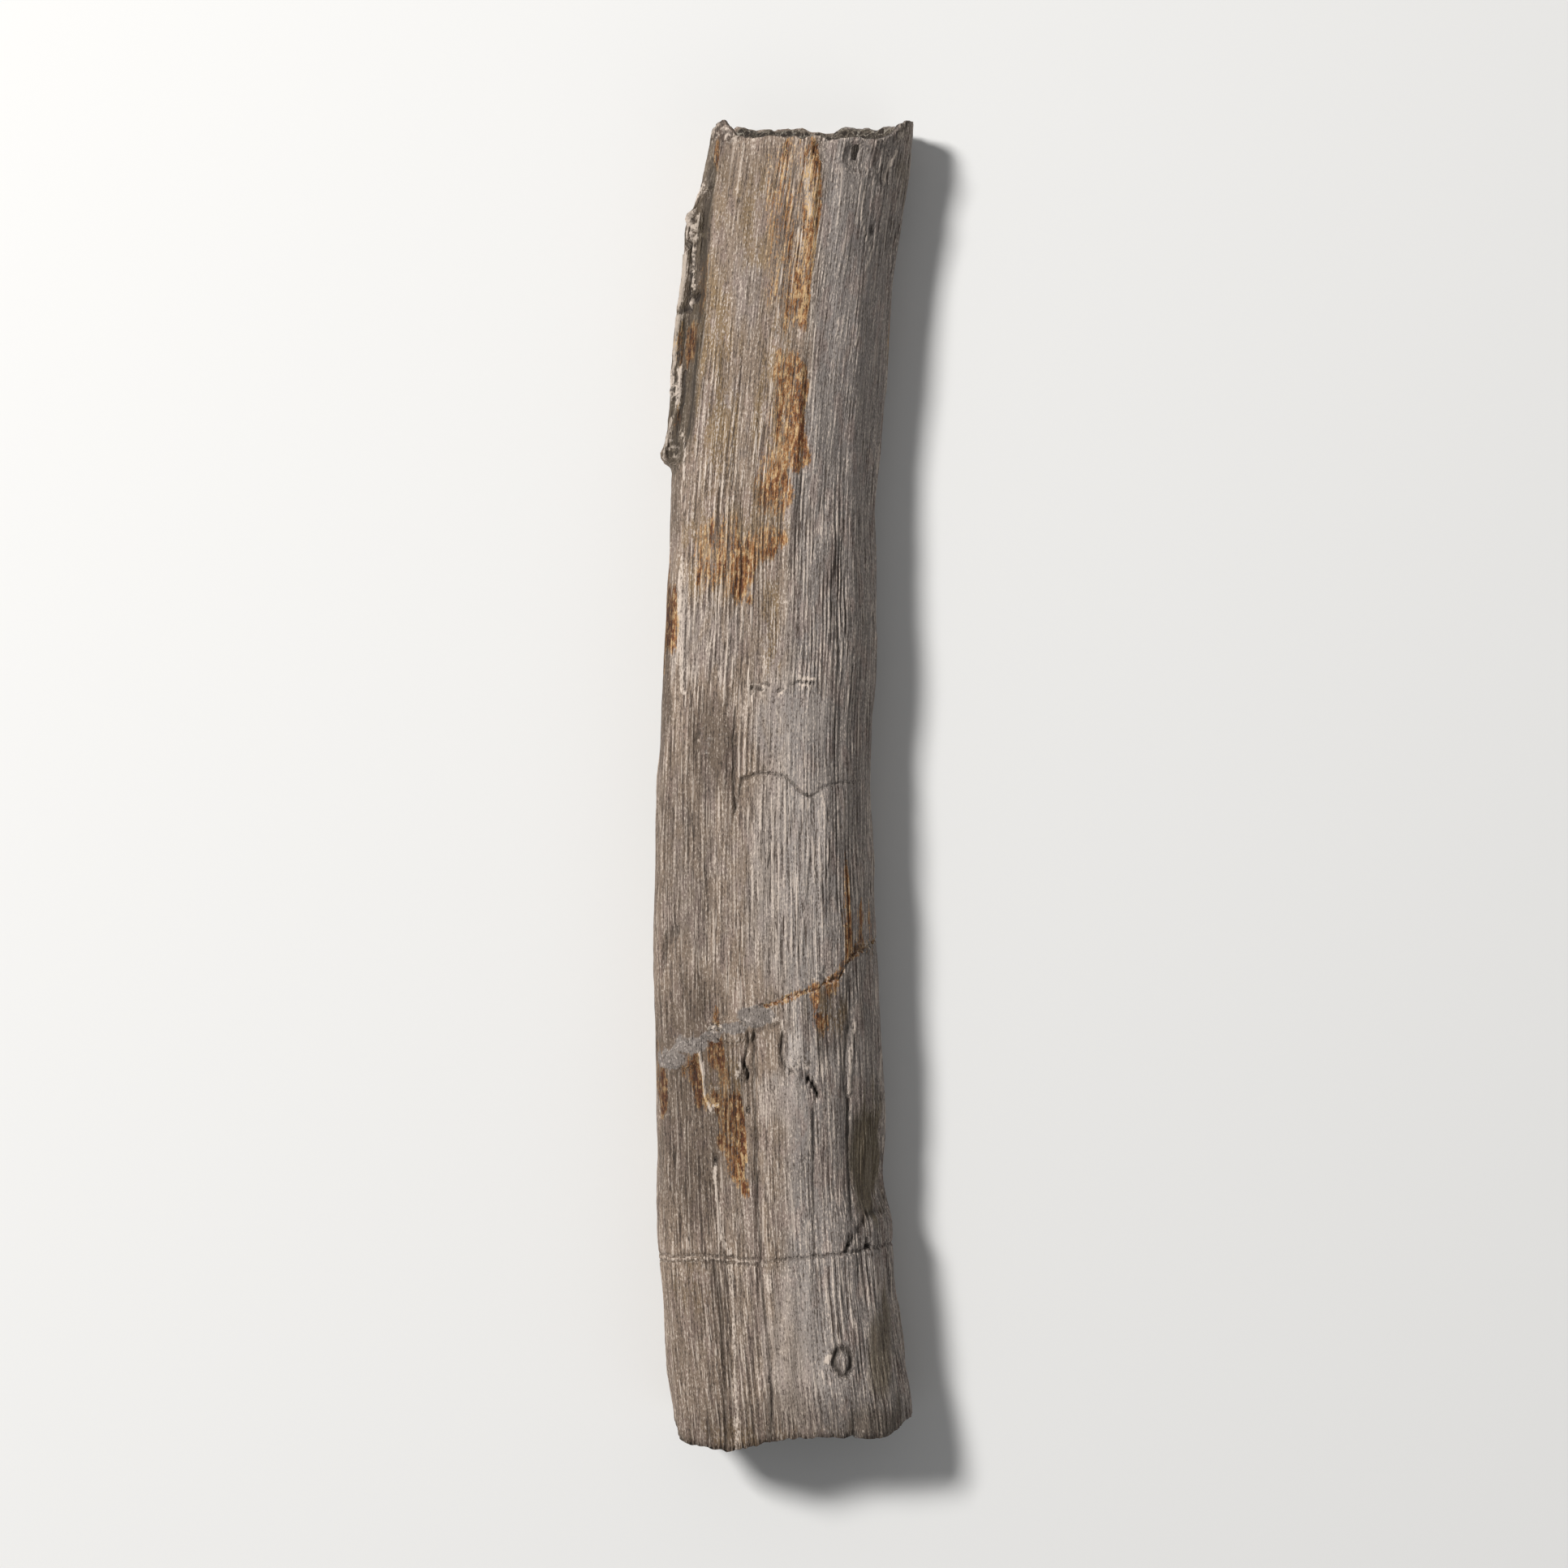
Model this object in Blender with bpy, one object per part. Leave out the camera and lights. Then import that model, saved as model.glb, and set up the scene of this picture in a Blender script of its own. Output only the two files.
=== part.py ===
"""A broken length of fossil phytosaur rib, lying on its flattened back along +Y."""

import math

import bmesh
import bpy
import numpy as np

MM = 0.001

# Driving sizes of the shaft, in millimetres
THICKNESS = ((-62.5, 12.2), (-20.0, 11.5), (20.0, 11.2), (62.5, 11.6))
ARCH_RISE = 0.8
REST_CENTRE = 40.0
REST_SINK = 0.22

# How finely the surface is laid out
FRONT_COLUMNS = 36
BACK_COLUMNS = 20
ROWS_BELOW_CRACK = 11
ROWS_TO_BREAK = 15
ROWS_ABOVE_BREAK = 40
CRACK_HALF_WIDTH = 0.35
CAP_RINGS = (0.94, 0.85, 0.7, 0.5, 0.27)

# Outline seen from above: (y, x) of the left and the right edge, in millimetres
LEFT_EDGE = (
    (-63.0, -10.3), (-59.5, -10.5), (-55.7, -10.9), (-51.1, -11.15), (-45.0, -11.65),
    (-32.9, -11.95), (-17.7, -12.15), (-7.1, -12.05), (2.0, -11.85), (8.1, -11.5),
    (14.2, -11.05), (20.2, -10.85), (26.0, -10.7), (30.1, -10.45), (34.7, -10.2),
    (39.2, -9.8), (43.8, -9.35), (50.0, -8.55), (57.0, -7.55), (60.1, -6.95), (63.0, -6.4),
)
# How far the ledge along the upper left juts out past that edge: (y, x)
LEFT_JUT = (
    (29.6, 0.0), (30.0, -0.35), (30.4, -0.85), (30.9, -1.2), (32.2, -1.0), (34.7, -0.75),
    (39.2, -0.6), (43.8, -0.6), (48.3, -0.75), (50.6, -0.95), (52.6, -1.15), (54.0, -0.9),
    (55.2, -0.35), (56.2, 0.0),
)
RIGHT_EDGE = (
    (-63.0, 12.1), (-58.7, 12.0), (-54.2, 11.3), (-48.1, 10.6), (-43.5, 10.3),
    (-40.7, 10.1), (-39.6, 9.75), (-32.9, 9.55), (-25.3, 9.2), (-17.7, 8.7),
    (-10.1, 8.5), (-2.5, 8.3), (5.0, 8.2), (12.6, 8.6), (20.2, 8.65), (27.8, 8.8),
    (35.4, 9.3), (43.0, 9.95), (50.6, 10.75), (58.2, 11.8), (63.0, 12.3),
)

# Cross-section at each end: across from -1 to 1, and up from 0 to 1,
# over the front from the left edge to the right edge and back underneath
SECTION_TOP = (
    (-1.0, 0.5), (-0.985, 0.68), (-0.9, 0.84), (-0.6, 0.945), (-0.1, 1.0), (0.4, 0.97),
    (0.72, 0.82), (0.9, 0.57), (1.0, 0.36), (0.93, 0.17), (0.62, 0.05), (0.1, 0.0),
    (-0.45, 0.02), (-0.83, 0.12), (-0.97, 0.29),
)
SECTION_BOTTOM = (
    (-1.0, 0.48), (-0.98, 0.66), (-0.9, 0.81), (-0.62, 0.93), (-0.2, 0.98), (0.45, 0.98),
    (0.77, 0.82), (0.93, 0.6), (1.0, 0.4), (0.94, 0.2), (0.64, 0.05), (0.05, 0.0),
    (-0.5, 0.025), (-0.86, 0.12), (-0.98, 0.28),
)
RIGHT_EDGE_POINT = 8

# Lines that run right round the shaft: (across, y) over the front, then over the back
TOP_RIM = (
    (
        (-1.0, 61.7), (-0.93, 62.5), (-0.86, 61.6), (-0.79, 60.7), (-0.6, 60.45), (-0.2, 60.35),
        (0.2, 60.25), (0.45, 60.4), (0.7, 60.35), (0.8, 61.0), (0.87, 62.2), (0.94, 62.7),
        (1.0, 62.7),
    ),
    (
        (-1.0, 61.7), (-0.8, 62.6), (-0.5, 62.5), (-0.25, 62.8), (0.1, 62.3), (0.4, 62.9),
        (0.6, 62.5), (0.8, 62.8), (1.0, 62.7),
    ),
)
BOTTOM_RIM = (
    (
        (-1.0, -60.0), (-0.96, -61.3), (-0.86, -61.9), (-0.62, -62.1), (-0.52, -62.4),
        (-0.28, -61.9), (-0.11, -61.3), (0.09, -61.1), (0.43, -60.9), (0.6, -61.4),
        (0.84, -60.6), (1.0, -59.5),
    ),
    (
        (-1.0, -60.0), (-0.7, -61.2), (-0.3, -60.7), (-0.05, -62.2), (0.15, -61.6),
        (0.5, -60.6), (0.8, -60.2), (1.0, -59.5),
    ),
)
BREAK = (
    (
        (-1.0, -27.2), (-0.86, -26.0), (-0.65, -24.5), (-0.5, -23.1), (-0.15, -21.6),
        (0.13, -20.4), (0.38, -19.2), (0.6, -18.1), (0.74, -16.2), (0.9, -15.2), (1.0, -14.8),
    ),
    (
        (-1.0, -27.2), (-0.7, -29.0), (-0.3, -26.5), (0.1, -21.0), (0.5, -17.5), (1.0, -14.8),
    ),
)
CRACK = (
    (
        (-1.0, -44.6), (-0.55, -44.3), (-0.05, -44.7), (0.3, -44.1), (0.65, -43.7),
        (1.0, -43.4),
    ),
    (
        (-1.0, -44.6), (-0.4, -43.0), (0.2, -45.2), (0.6, -44.0), (1.0, -43.4),
    ),
)

# Ledge along the upper left: the main face stops at this edge, (y, x)
LEDGE_EDGE = (
    (29.0, -10.7), (33.0, -9.1), (38.0, -8.6), (43.0, -8.1), (50.6, -7.45), (54.0, -7.2),
    (57.5, -6.8),
)
LEDGE_DROP = 1.5
LEDGE_ENDS = (29.3, 56.5)

# Grooves and ridges of the front: points (x, y), half width and height
FRONT_LINES = (
    # long groove down the lower half
    (((-2.7, -24.0), (-2.5, -33.0), (-2.3, -41.0), (-1.5, -52.0), (-0.9, -60.5)), 0.75, -0.25),
    # shallow groove left of it
    (((-6.6, -37.0), (-5.0, -43.5), (-5.0, -48.0), (-4.5, -61.0)), 0.7, -0.3),
    # ridge between the groove and the middle
    (((0.8, -46.0), (0.4, -54.0), (1.0, -60.5)), 1.0, 0.2),
    # open cracks under the break
    (((-3.4, -25.0), (-3.3, -27.8)), 0.45, -0.7),
    (((-0.5, -26.6), (1.8, -27.3), (3.3, -29.6)), 0.45, -0.7),
    # crack down the middle of the lower half
    (((2.8, -30.0), (2.9, -42.5)), 0.5, -0.12),
    # curved flake edge across the middle
    (
        ((-4.6, -2.5), (-3.9, 0.5), (-2.3, 1.0), (0.0, 0.8), (2.6, -1.2), (4.1, 0.0), (7.1, 0.3)),
        0.55, -0.3,
    ),
    # raised streak of the upper half
    (((2.9, 58.5), (2.4, 50.0), (1.9, 43.0), (1.2, 30.0), (0.4, 21.0)), 0.7, 0.3),
    (((-4.6, 27.0), (-4.9, 14.0)), 0.9, 0.25),
    # ledge line left of the rust patch
    (((-7.9, -25.5), (-7.4, -29.0), (-6.4, -30.2)), 0.6, 0.3),
)

# Hollows and swellings of the front: centre (x, y), half sizes and height
FRONT_PATCHES = (
    # scars below the top lip
    ((6.9, 58.6), (1.5, 1.7), -0.4),
    ((3.4, 59.0), (0.9, 1.2), -0.35),
    ((9.3, 58.5), (0.9, 2.6), -0.4),
    # flake scar of the right flank, above the horizontal crack
    ((8.2, -35.5), (2.2, 5.6), -0.3),
    # filler along the break
    ((-5.2, -23.0), (3.0, 1.3), 0.3),
    ((-9.6, -25.6), (1.9, 1.2), 0.3),
    # matrix patch
    ((-6.4, 4.3), (1.9, 2.4), 0.25),
    # ring pit near the lower end
    ((5.5, -53.9), (0.95, 1.45), -0.55),
    # rise beside the long groove
    ((0.6, -32.0), (2.6, 5.0), 0.3),
)

# Hollows of the back, where flakes have come away
BACK_PATCHES = (
    ((4.0, 18.0), (3.2, 9.0), -0.7),
    ((-5.5, -8.0), (2.6, 7.0), -0.6),
    ((2.5, -22.0), (2.4, 5.0), -0.5),
)

# Fracture faces: depth of the spongy middle behind the rim, in millimetres
TOP_RECESS = 1.5
BOTTOM_RECESS = 0.9
LUMP_HEIGHT = 0.4

# Look of the bone
BONE_COLOUR = (0.275, 0.222, 0.185, 1.0)
BONE_ROUGHNESS = 0.78
SHARP_ANGLE = math.radians(40.0)


def clear_scene():
    """Remove whatever objects the scene starts with."""
    for item in list(bpy.data.objects):
        bpy.data.objects.remove(item, do_unlink=True)


def straight(points, at):
    """A value that runs through (place, value) points, straight between them."""
    place, value = zip(*points)
    return np.interp(at, place, value)


def curve(points, at):
    """A value that runs smoothly through (place, value) points."""
    place, value = np.array(points, float).T
    slope = np.gradient(value, place)
    at = np.clip(at, place[0], place[-1])
    low = np.clip(np.searchsorted(place, at) - 1, 0, len(place) - 2)
    span = place[low + 1] - place[low]
    s = (at - place[low]) / span
    rise = value[low] * (1 + 2 * s) * (1 - s) ** 2 + value[low + 1] * s * s * (3 - 2 * s)
    return rise + span * (slope[low] * s * (1 - s) ** 2 - slope[low + 1] * s * s * (1 - s))


def loop_curve(points, at):
    """Points on a closed smooth curve; at counts from 0 to the number of points."""
    points = np.array(points, float)
    count = len(points)
    first = np.floor(at).astype(int)
    s = (at - first)[:, None]
    a, b, c, d = (points[(first + k) % count] for k in (-1, 0, 1, 2))
    bend = (2 * a - 5 * b + 4 * c - d) * s ** 2 + (3 * b - a - 3 * c + d) * s ** 3
    return 0.5 * (2 * b + (c - a) * s + bend)


def step(x, low, high):
    """Smooth step from 0 at low to 1 at high."""
    part = np.clip((x - low) / (high - low), 0.0, 1.0)
    return part * part * (3.0 - 2.0 * part)


def line_distance(points, x, y):
    """Distance from each (x, y) to a line through the points."""
    nearest = np.full(np.shape(x), np.inf)
    for (x0, y0), (x1, y1) in zip(points, points[1:]):
        dx, dy = x1 - x0, y1 - y0
        part = np.clip(((x - x0) * dx + (y - y0) * dy) / (dx * dx + dy * dy), 0.0, 1.0)
        nearest = np.minimum(nearest, np.hypot(x - x0 - part * dx, y - y0 - part * dy))
    return nearest


def patch(centre, half, x, y):
    """A rounded patch that is 1 in its middle and 0 beyond its half sizes."""
    reach = np.hypot((x - centre[0]) / half[0], (y - centre[1]) / half[1])
    return 1.0 - step(reach, 0.6, 1.05)


def column_places():
    """Places round the section, closer together over the front than underneath."""
    count = len(SECTION_TOP)
    front = np.linspace(0, RIGHT_EDGE_POINT, FRONT_COLUMNS, endpoint=False)
    back = np.linspace(RIGHT_EDGE_POINT, count, BACK_COLUMNS, endpoint=False)
    return np.concatenate([front, back])


def round_line(line, across, front):
    """The y of a line that runs round the shaft, at each column."""
    over_front, over_back = line
    return np.where(front, straight(over_front, across), straight(over_back, across))


def row_heights(across, front):
    """The y of every grid point: rows follow the rims, the crack and the break."""
    crack = round_line(CRACK, across, front)
    split = round_line(BREAK, across, front)
    stops = (
        (round_line(BOTTOM_RIM, across, front), crack - CRACK_HALF_WIDTH, ROWS_BELOW_CRACK),
        (crack - CRACK_HALF_WIDTH, crack, 1),
        (crack, crack + CRACK_HALF_WIDTH, 1),
        (crack + CRACK_HALF_WIDTH, split - CRACK_HALF_WIDTH, ROWS_TO_BREAK),
        (split - CRACK_HALF_WIDTH, split, 1),
        (split, split + CRACK_HALF_WIDTH, 1),
        (split + CRACK_HALF_WIDTH, round_line(TOP_RIM, across, front), ROWS_ABOVE_BREAK),
    )
    rows = []
    for low, high, count in stops:
        rows += [low + (high - low) * k / count for k in range(count)]
    rows.append(stops[-1][1])
    return np.array(rows)


def shaft_point(across, up, y):
    """The plain shaft: where a section point lies at a given y."""
    left = curve(LEFT_EDGE, y)
    right = curve(RIGHT_EDGE, y)
    x = (left + right) / 2 + across * (right - left) / 2
    x = x + curve(LEFT_JUT, y) * step(across, -0.82, -0.97)
    lift = ARCH_RISE * (1 + np.cos(np.pi * y / REST_CENTRE)) / 2 - REST_SINK
    return x, up * curve(THICKNESS, y) + lift


def gentle_waves(x, y):
    """Low lengthwise swells, so that no face is quite even."""
    return (
        0.05 * np.sin(1.9 * x + 0.05 * y)
        + 0.04 * np.sin(3.3 * x - 0.09 * y + 1.3)
        + 0.09 * np.sin(0.21 * y + 0.7 * x)
        + 0.06 * np.sin(0.47 * y - 1.1 * x + 2.0)
    )


def front_relief(x, y):
    """Height of the front's grooves, ridges, scars and swellings."""
    height = gentle_waves(x, y)
    for points, half_width, rise in FRONT_LINES:
        height += rise * (1.0 - step(line_distance(points, x, y), 0.0, half_width))
    for centre, half, rise in FRONT_PATCHES:
        height += rise * patch(centre, half, x, y)
    return height


def back_relief(x, y):
    """Height of the back's swells and flake scars."""
    height = 1.4 * gentle_waves(x + 5.0, y + 9.0)
    for centre, half, rise in BACK_PATCHES:
        height += rise * patch(centre, half, x, y)
    return height


def crack_relief(across, front, y):
    """Depth of the horizontal crack and of the glued break, both right round."""
    crack = np.abs(y - round_line(CRACK, across, front)) < CRACK_HALF_WIDTH / 2
    split = np.abs(y - round_line(BREAK, across, front)) < CRACK_HALF_WIDTH / 2
    filled = step(across, 0.05, -0.15) * front
    return -0.3 * crack - (0.4 - 0.4 * filled) * split


def ledge_drop(x, y):
    """How far the surface drops outside the main face's broken left edge."""
    low, high = LEDGE_ENDS
    inside = step(y, low - 0.6, low + 0.8) * step(y, high, high - 1.2)
    return LEDGE_DROP * inside * step(curve(LEDGE_EDGE, y) - x, -0.25, 0.3)


def outward(x, z):
    """Outward directions across the section, along each row of the grid."""
    dx = np.roll(x, -1, axis=1) - np.roll(x, 1, axis=1)
    dz = np.roll(z, -1, axis=1) - np.roll(z, 1, axis=1)
    size = np.hypot(dx, dz)
    return -dz / size, dx / size


def shaft_grid():
    """Grid of points over the whole side surface, rows by columns, in millimetres."""
    place = column_places()
    top = loop_curve(SECTION_TOP, place)
    bottom = loop_curve(SECTION_BOTTOM, place)
    front = place <= RIGHT_EDGE_POINT
    across = np.clip(top[:, 0], -1.0, 1.0)
    y = row_heights(across, front)
    share = step(y, -55.0, 55.0)[..., None]
    section = bottom * (1 - share) + top * share
    x, z = shaft_point(section[..., 0], section[..., 1], y)
    side_x, side_z = outward(x, z)
    height = np.where(front, front_relief(x, y), back_relief(x, y))
    height = height + crack_relief(across, front, y)
    x = x + side_x * height
    z = z + side_z * height - ledge_drop(x, y) * front * step(section[..., 1], 0.66, 0.84)
    return x, y, np.maximum(z, 0.0)


def fitted_plane(point):
    """The plane y = a + b x + c z that lies closest to the points."""
    terms = np.column_stack([np.ones(len(point)), point[:, 0], point[:, 2]])
    return np.linalg.lstsq(terms, point[:, 1], rcond=None)[0]


def fracture_points(rim, ring, recess, side):
    """One ring of a fracture face: the rim's shape fades into a lumpy, set-back middle."""
    a, b, c = fitted_plane(rim)
    middle = rim.mean(axis=0)
    point = middle + (rim - middle) * ring
    x, z = point[:, 0], point[:, 2]
    uneven = rim[:, 1] - (a + b * rim[:, 0] + c * rim[:, 2])
    lumps = np.sin(0.9 * x + 0.6 * z) * np.sin(0.8 * z - 0.5 * x + 0.8)
    depth = recess * step(ring, 0.97, 0.8) + LUMP_HEIGHT * lumps * step(ring, 1.0, 0.7)
    point[:, 1] = a + b * x + c * z + uneven * step(ring, 0.6, 1.0) - side * depth
    return point


def add_cap(mesh, rim, recess, side):
    """Close one end with rings that shrink towards the middle of the fracture."""
    xyz = np.array([v.co for v in rim]) / MM
    outer = rim
    for ring in CAP_RINGS:
        inner = [mesh.verts.new(p * MM) for p in fracture_points(xyz, ring, recess, side)]
        for k in range(len(rim)):
            add_face(mesh, (outer[k - 1], outer[k], inner[k], inner[k - 1]), side)
        outer = inner
    tip = mesh.verts.new(fracture_points(xyz, 0.0, recess, side)[0] * MM)
    for k in range(len(rim)):
        add_face(mesh, (outer[k - 1], outer[k], tip), side)


def add_face(mesh, corners, side):
    """One face, turned so that it looks out of the end it is on."""
    mesh.faces.new(corners if side > 0 else corners[::-1])


def add_shaft(mesh):
    """The side surface; returns the rims at the lower and the upper end."""
    x, y, z = shaft_grid()
    rows = [
        [mesh.verts.new((x[r, c] * MM, y[r, c] * MM, z[r, c] * MM)) for c in range(x.shape[1])]
        for r in range(x.shape[0])
    ]
    for low, high in zip(rows, rows[1:]):
        for k in range(len(low)):
            mesh.faces.new((low[k - 1], low[k], high[k], high[k - 1]))
    return rows[0], rows[-1]


def bone_material():
    """Warm grey-tan mineralised bone."""
    material = bpy.data.materials.new("fossil_bone")
    material.use_nodes = True
    shader = material.node_tree.nodes["Principled BSDF"]
    shader.inputs["Base Color"].default_value = BONE_COLOUR
    shader.inputs["Roughness"].default_value = BONE_ROUGHNESS
    shader.inputs["Metallic"].default_value = 0.0
    return material


def build_rib():
    """The rib as one solid: the shaft and the two fracture faces that close it."""
    mesh = bmesh.new()
    lower_rim, upper_rim = add_shaft(mesh)
    add_cap(mesh, lower_rim, BOTTOM_RECESS, -1)
    add_cap(mesh, upper_rim, TOP_RECESS, 1)
    bmesh.ops.triangulate(mesh, faces=mesh.faces[:])
    data = bpy.data.meshes.new("rib")
    mesh.to_mesh(data)
    mesh.free()
    data.shade_smooth()
    data.set_sharp_from_angle(angle=SHARP_ANGLE)
    data.materials.append(bone_material())
    rib = bpy.data.objects.new("rib", data)
    bpy.context.scene.collection.objects.link(rib)
    return rib


clear_scene()
build_rib()
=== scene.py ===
import bpy
import numpy as np
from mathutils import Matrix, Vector


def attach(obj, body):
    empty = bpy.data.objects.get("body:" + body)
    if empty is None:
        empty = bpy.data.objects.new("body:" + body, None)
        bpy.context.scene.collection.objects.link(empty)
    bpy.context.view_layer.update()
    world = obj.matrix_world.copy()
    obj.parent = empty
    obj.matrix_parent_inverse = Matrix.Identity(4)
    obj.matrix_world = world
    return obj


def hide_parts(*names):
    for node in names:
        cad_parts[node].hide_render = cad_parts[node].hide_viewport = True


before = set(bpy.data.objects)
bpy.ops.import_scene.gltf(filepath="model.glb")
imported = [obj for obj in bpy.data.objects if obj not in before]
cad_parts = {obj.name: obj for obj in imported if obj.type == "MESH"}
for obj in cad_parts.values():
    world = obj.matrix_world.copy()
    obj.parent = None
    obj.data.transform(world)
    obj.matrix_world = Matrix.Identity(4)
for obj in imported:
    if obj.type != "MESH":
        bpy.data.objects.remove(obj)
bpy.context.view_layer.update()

MM = 0.001

# Driving sizes of the shaft, in millimetres
THICKNESS = ((-62.5, 12.2), (-20, 11.5), (20, 11.2), (62.5, 11.6))
ARCH_RISE = 0.8
REST_CENTRE = 40.0
REST_SINK = 0.22

# How finely the surface is laid out: columns between the points of the cross-section
COLUMNS = (14, 18, 36, 54, 52, 34, 26, 22, 8, 14, 20, 20, 16, 8, 10)
ROW_PITCH = 0.7
FINE_ROW_PITCH = 0.42
LEDGE_ROW_PITCH = 0.5
SEAM_OFFSETS = (-0.6, -0.42, -0.28, -0.14, 0, 0.14, 0.28, 0.42, 0.6)
# Rings of the fracture faces: one point for this many columns, and how large each ring is
CAP_STAGES = (
    (1, (0.985, 0.97, 0.955, 0.94, 0.92, 0.9)),
    (2, (0.88, 0.855, 0.83, 0.8, 0.77, 0.74, 0.71, 0.68, 0.65, 0.62)),
    (4, (0.585, 0.55, 0.515, 0.48, 0.445, 0.41, 0.375, 0.34)),
    (8, (0.295, 0.25, 0.205, 0.16, 0.11, 0.06)),
)

# Outline seen from above: (y, x) of the left and the right edge, in millimetres
LEFT_EDGE = (
    (-63, -10.3), (-59.5, -10.5), (-55.7, -10.9), (-51.1, -11.15), (-45, -11.65),
    (-32.9, -11.95), (-17.7, -12.15), (-7.1, -12.05), (2, -11.85), (8.1, -11.5),
    (14.2, -11.05), (20.2, -10.85), (26, -10.7), (30.1, -10.45), (34.7, -10.2),
    (39.2, -9.8), (43.8, -9.35), (50, -8.55), (57, -7.55), (60.1, -6.95), (63, -6.4),
)
# How far the ledge along the upper left juts out past that edge: (y, x)
LEFT_JUT = (
    (29.6, 0), (30, -0.35), (30.4, -0.85), (30.9, -1.2), (32.2, -1), (34.7, -0.75),
    (39.2, -0.6), (43.8, -0.6), (48.3, -0.75), (50.6, -0.95), (52.6, -1.15), (54, -0.9),
    (55.2, -0.35), (56.2, 0),
)
RIGHT_EDGE = (
    (-63, 12.1), (-58.7, 12), (-54.2, 11.3), (-48.1, 10.6), (-43.5, 10.3),
    (-40.7, 10.1), (-39.6, 9.75), (-32.9, 9.55), (-25.3, 9.2), (-17.7, 8.7),
    (-10.1, 8.5), (-2.5, 8.3), (5, 8.2), (12.6, 8.6), (20.2, 8.65), (27.8, 8.8),
    (35.4, 9.3), (43, 9.95), (50.6, 10.75), (58.2, 11.8), (63, 12.3),
)

# Cross-section at each end: across from -1 to 1, and up from 0 to 1,
# over the front from the left edge to the right edge and back underneath
SECTION_TOP = (
    (-1, 0.5), (-0.985, 0.68), (-0.9, 0.84), (-0.6, 0.945), (-0.1, 1), (0.4, 0.97),
    (0.72, 0.82), (0.9, 0.57), (1, 0.36), (0.93, 0.17), (0.62, 0.05), (0.1, 0),
    (-0.45, 0.02), (-0.83, 0.12), (-0.97, 0.29),
)
SECTION_BOTTOM = (
    (-1, 0.48), (-0.98, 0.66), (-0.9, 0.81), (-0.62, 0.93), (-0.2, 0.98), (0.45, 0.98),
    (0.77, 0.82), (0.93, 0.6), (1, 0.4), (0.94, 0.2), (0.64, 0.05), (0.05, 0),
    (-0.5, 0.025), (-0.86, 0.12), (-0.98, 0.28),
)
RIGHT_EDGE_POINT = 8

# Lines that run right round the shaft: (across, y) over the front, then over the back
TOP_RIM = (
    ((-1, 61.7), (-0.93, 62.5), (-0.86, 61.6), (-0.79, 60.7), (-0.6, 60.45), (-0.2, 60.35),
     (0.2, 60.25), (0.45, 60.4), (0.7, 60.35), (0.8, 61), (0.87, 62.2), (0.94, 62.7), (1, 62.7)),
    ((-1, 61.7), (-0.8, 62.6), (-0.5, 62.5), (-0.25, 62.8), (0.1, 62.3), (0.4, 62.9), (0.6, 62.5),
     (0.8, 62.8), (1, 62.7)),
)
BOTTOM_RIM = (
    ((-1, -60), (-0.96, -61.3), (-0.86, -61.9), (-0.62, -62.1), (-0.52, -62.4), (-0.28, -61.9),
     (-0.11, -61.3), (0.09, -61.1), (0.43, -60.9), (0.6, -61.4), (0.84, -60.6), (1, -59.5)),
    ((-1, -60), (-0.7, -61.2), (-0.3, -60.7), (-0.05, -62.2), (0.15, -61.6), (0.5, -60.6),
     (0.8, -60.2), (1, -59.5)),
)
BREAK = (
    ((-1, -27.2), (-0.86, -26), (-0.65, -24.5), (-0.5, -23.1), (-0.15, -21.6), (0.13, -20.4),
     (0.38, -19.2), (0.6, -18.1), (0.74, -16.2), (0.9, -15.2), (1, -14.8)),
    ((-1, -27.2), (-0.7, -29), (-0.3, -26.5), (0.1, -21), (0.5, -17.5), (1, -14.8)),
)
CRACK = (
    ((-1, -44.6), (-0.55, -44.3), (-0.05, -44.7), (0.3, -44.1), (0.65, -43.7), (1, -43.4)),
    ((-1, -44.6), (-0.4, -43), (0.2, -45.2), (0.6, -44), (1, -43.4)),
)
FLAKE = (
    ((-1, 0.8), (-0.35, 0), (-0.21, 0.6), (-0.06, 1), (0.17, 0.9), (0.32, -0.6), (0.44, -1.2),
     (0.58, -0.1), (0.88, 0.3), (1, 0.3)),
    ((-1, 0.8), (0, 0.5), (1, 0.3)),
)
SCUFF = (
    ((-1, 8.4), (-0.15, 8.8), (0.13, 9.1), (0.45, 9.7), (1, 10)),
    ((-1, 8.4), (0, 9), (1, 10)),
)

# The middle of the shaft, which its fibres follow: (y, x)
CENTRE_LINE = (
    (-63, 0.9), (-55, 0.1), (-45, -0.7), (-33, -1.2), (-18, -1.7), (-2, -1.8),
    (12, -1.5), (24, -1.1), (35, -0.2), (43, 0.6), (51, 1.5), (57, 2.2),
    (63, 2.9),
)

# Ledge along the upper left: the main face stops at this edge, (y, x)
LEDGE_EDGE = (
    (29, -10.7), (33, -9.1), (38, -8.6), (43, -8.1), (50.6, -7.45), (54, -7.2),
    (57.5, -6.8),
)
LEDGE_DROP = 1.5
LEDGE_ENDS = (29.3, 56.5)

# Depth of the open break and of the horizontal crack
BREAK_DEPTH = 0.14
CRACK_DEPTH = 0.18

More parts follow.
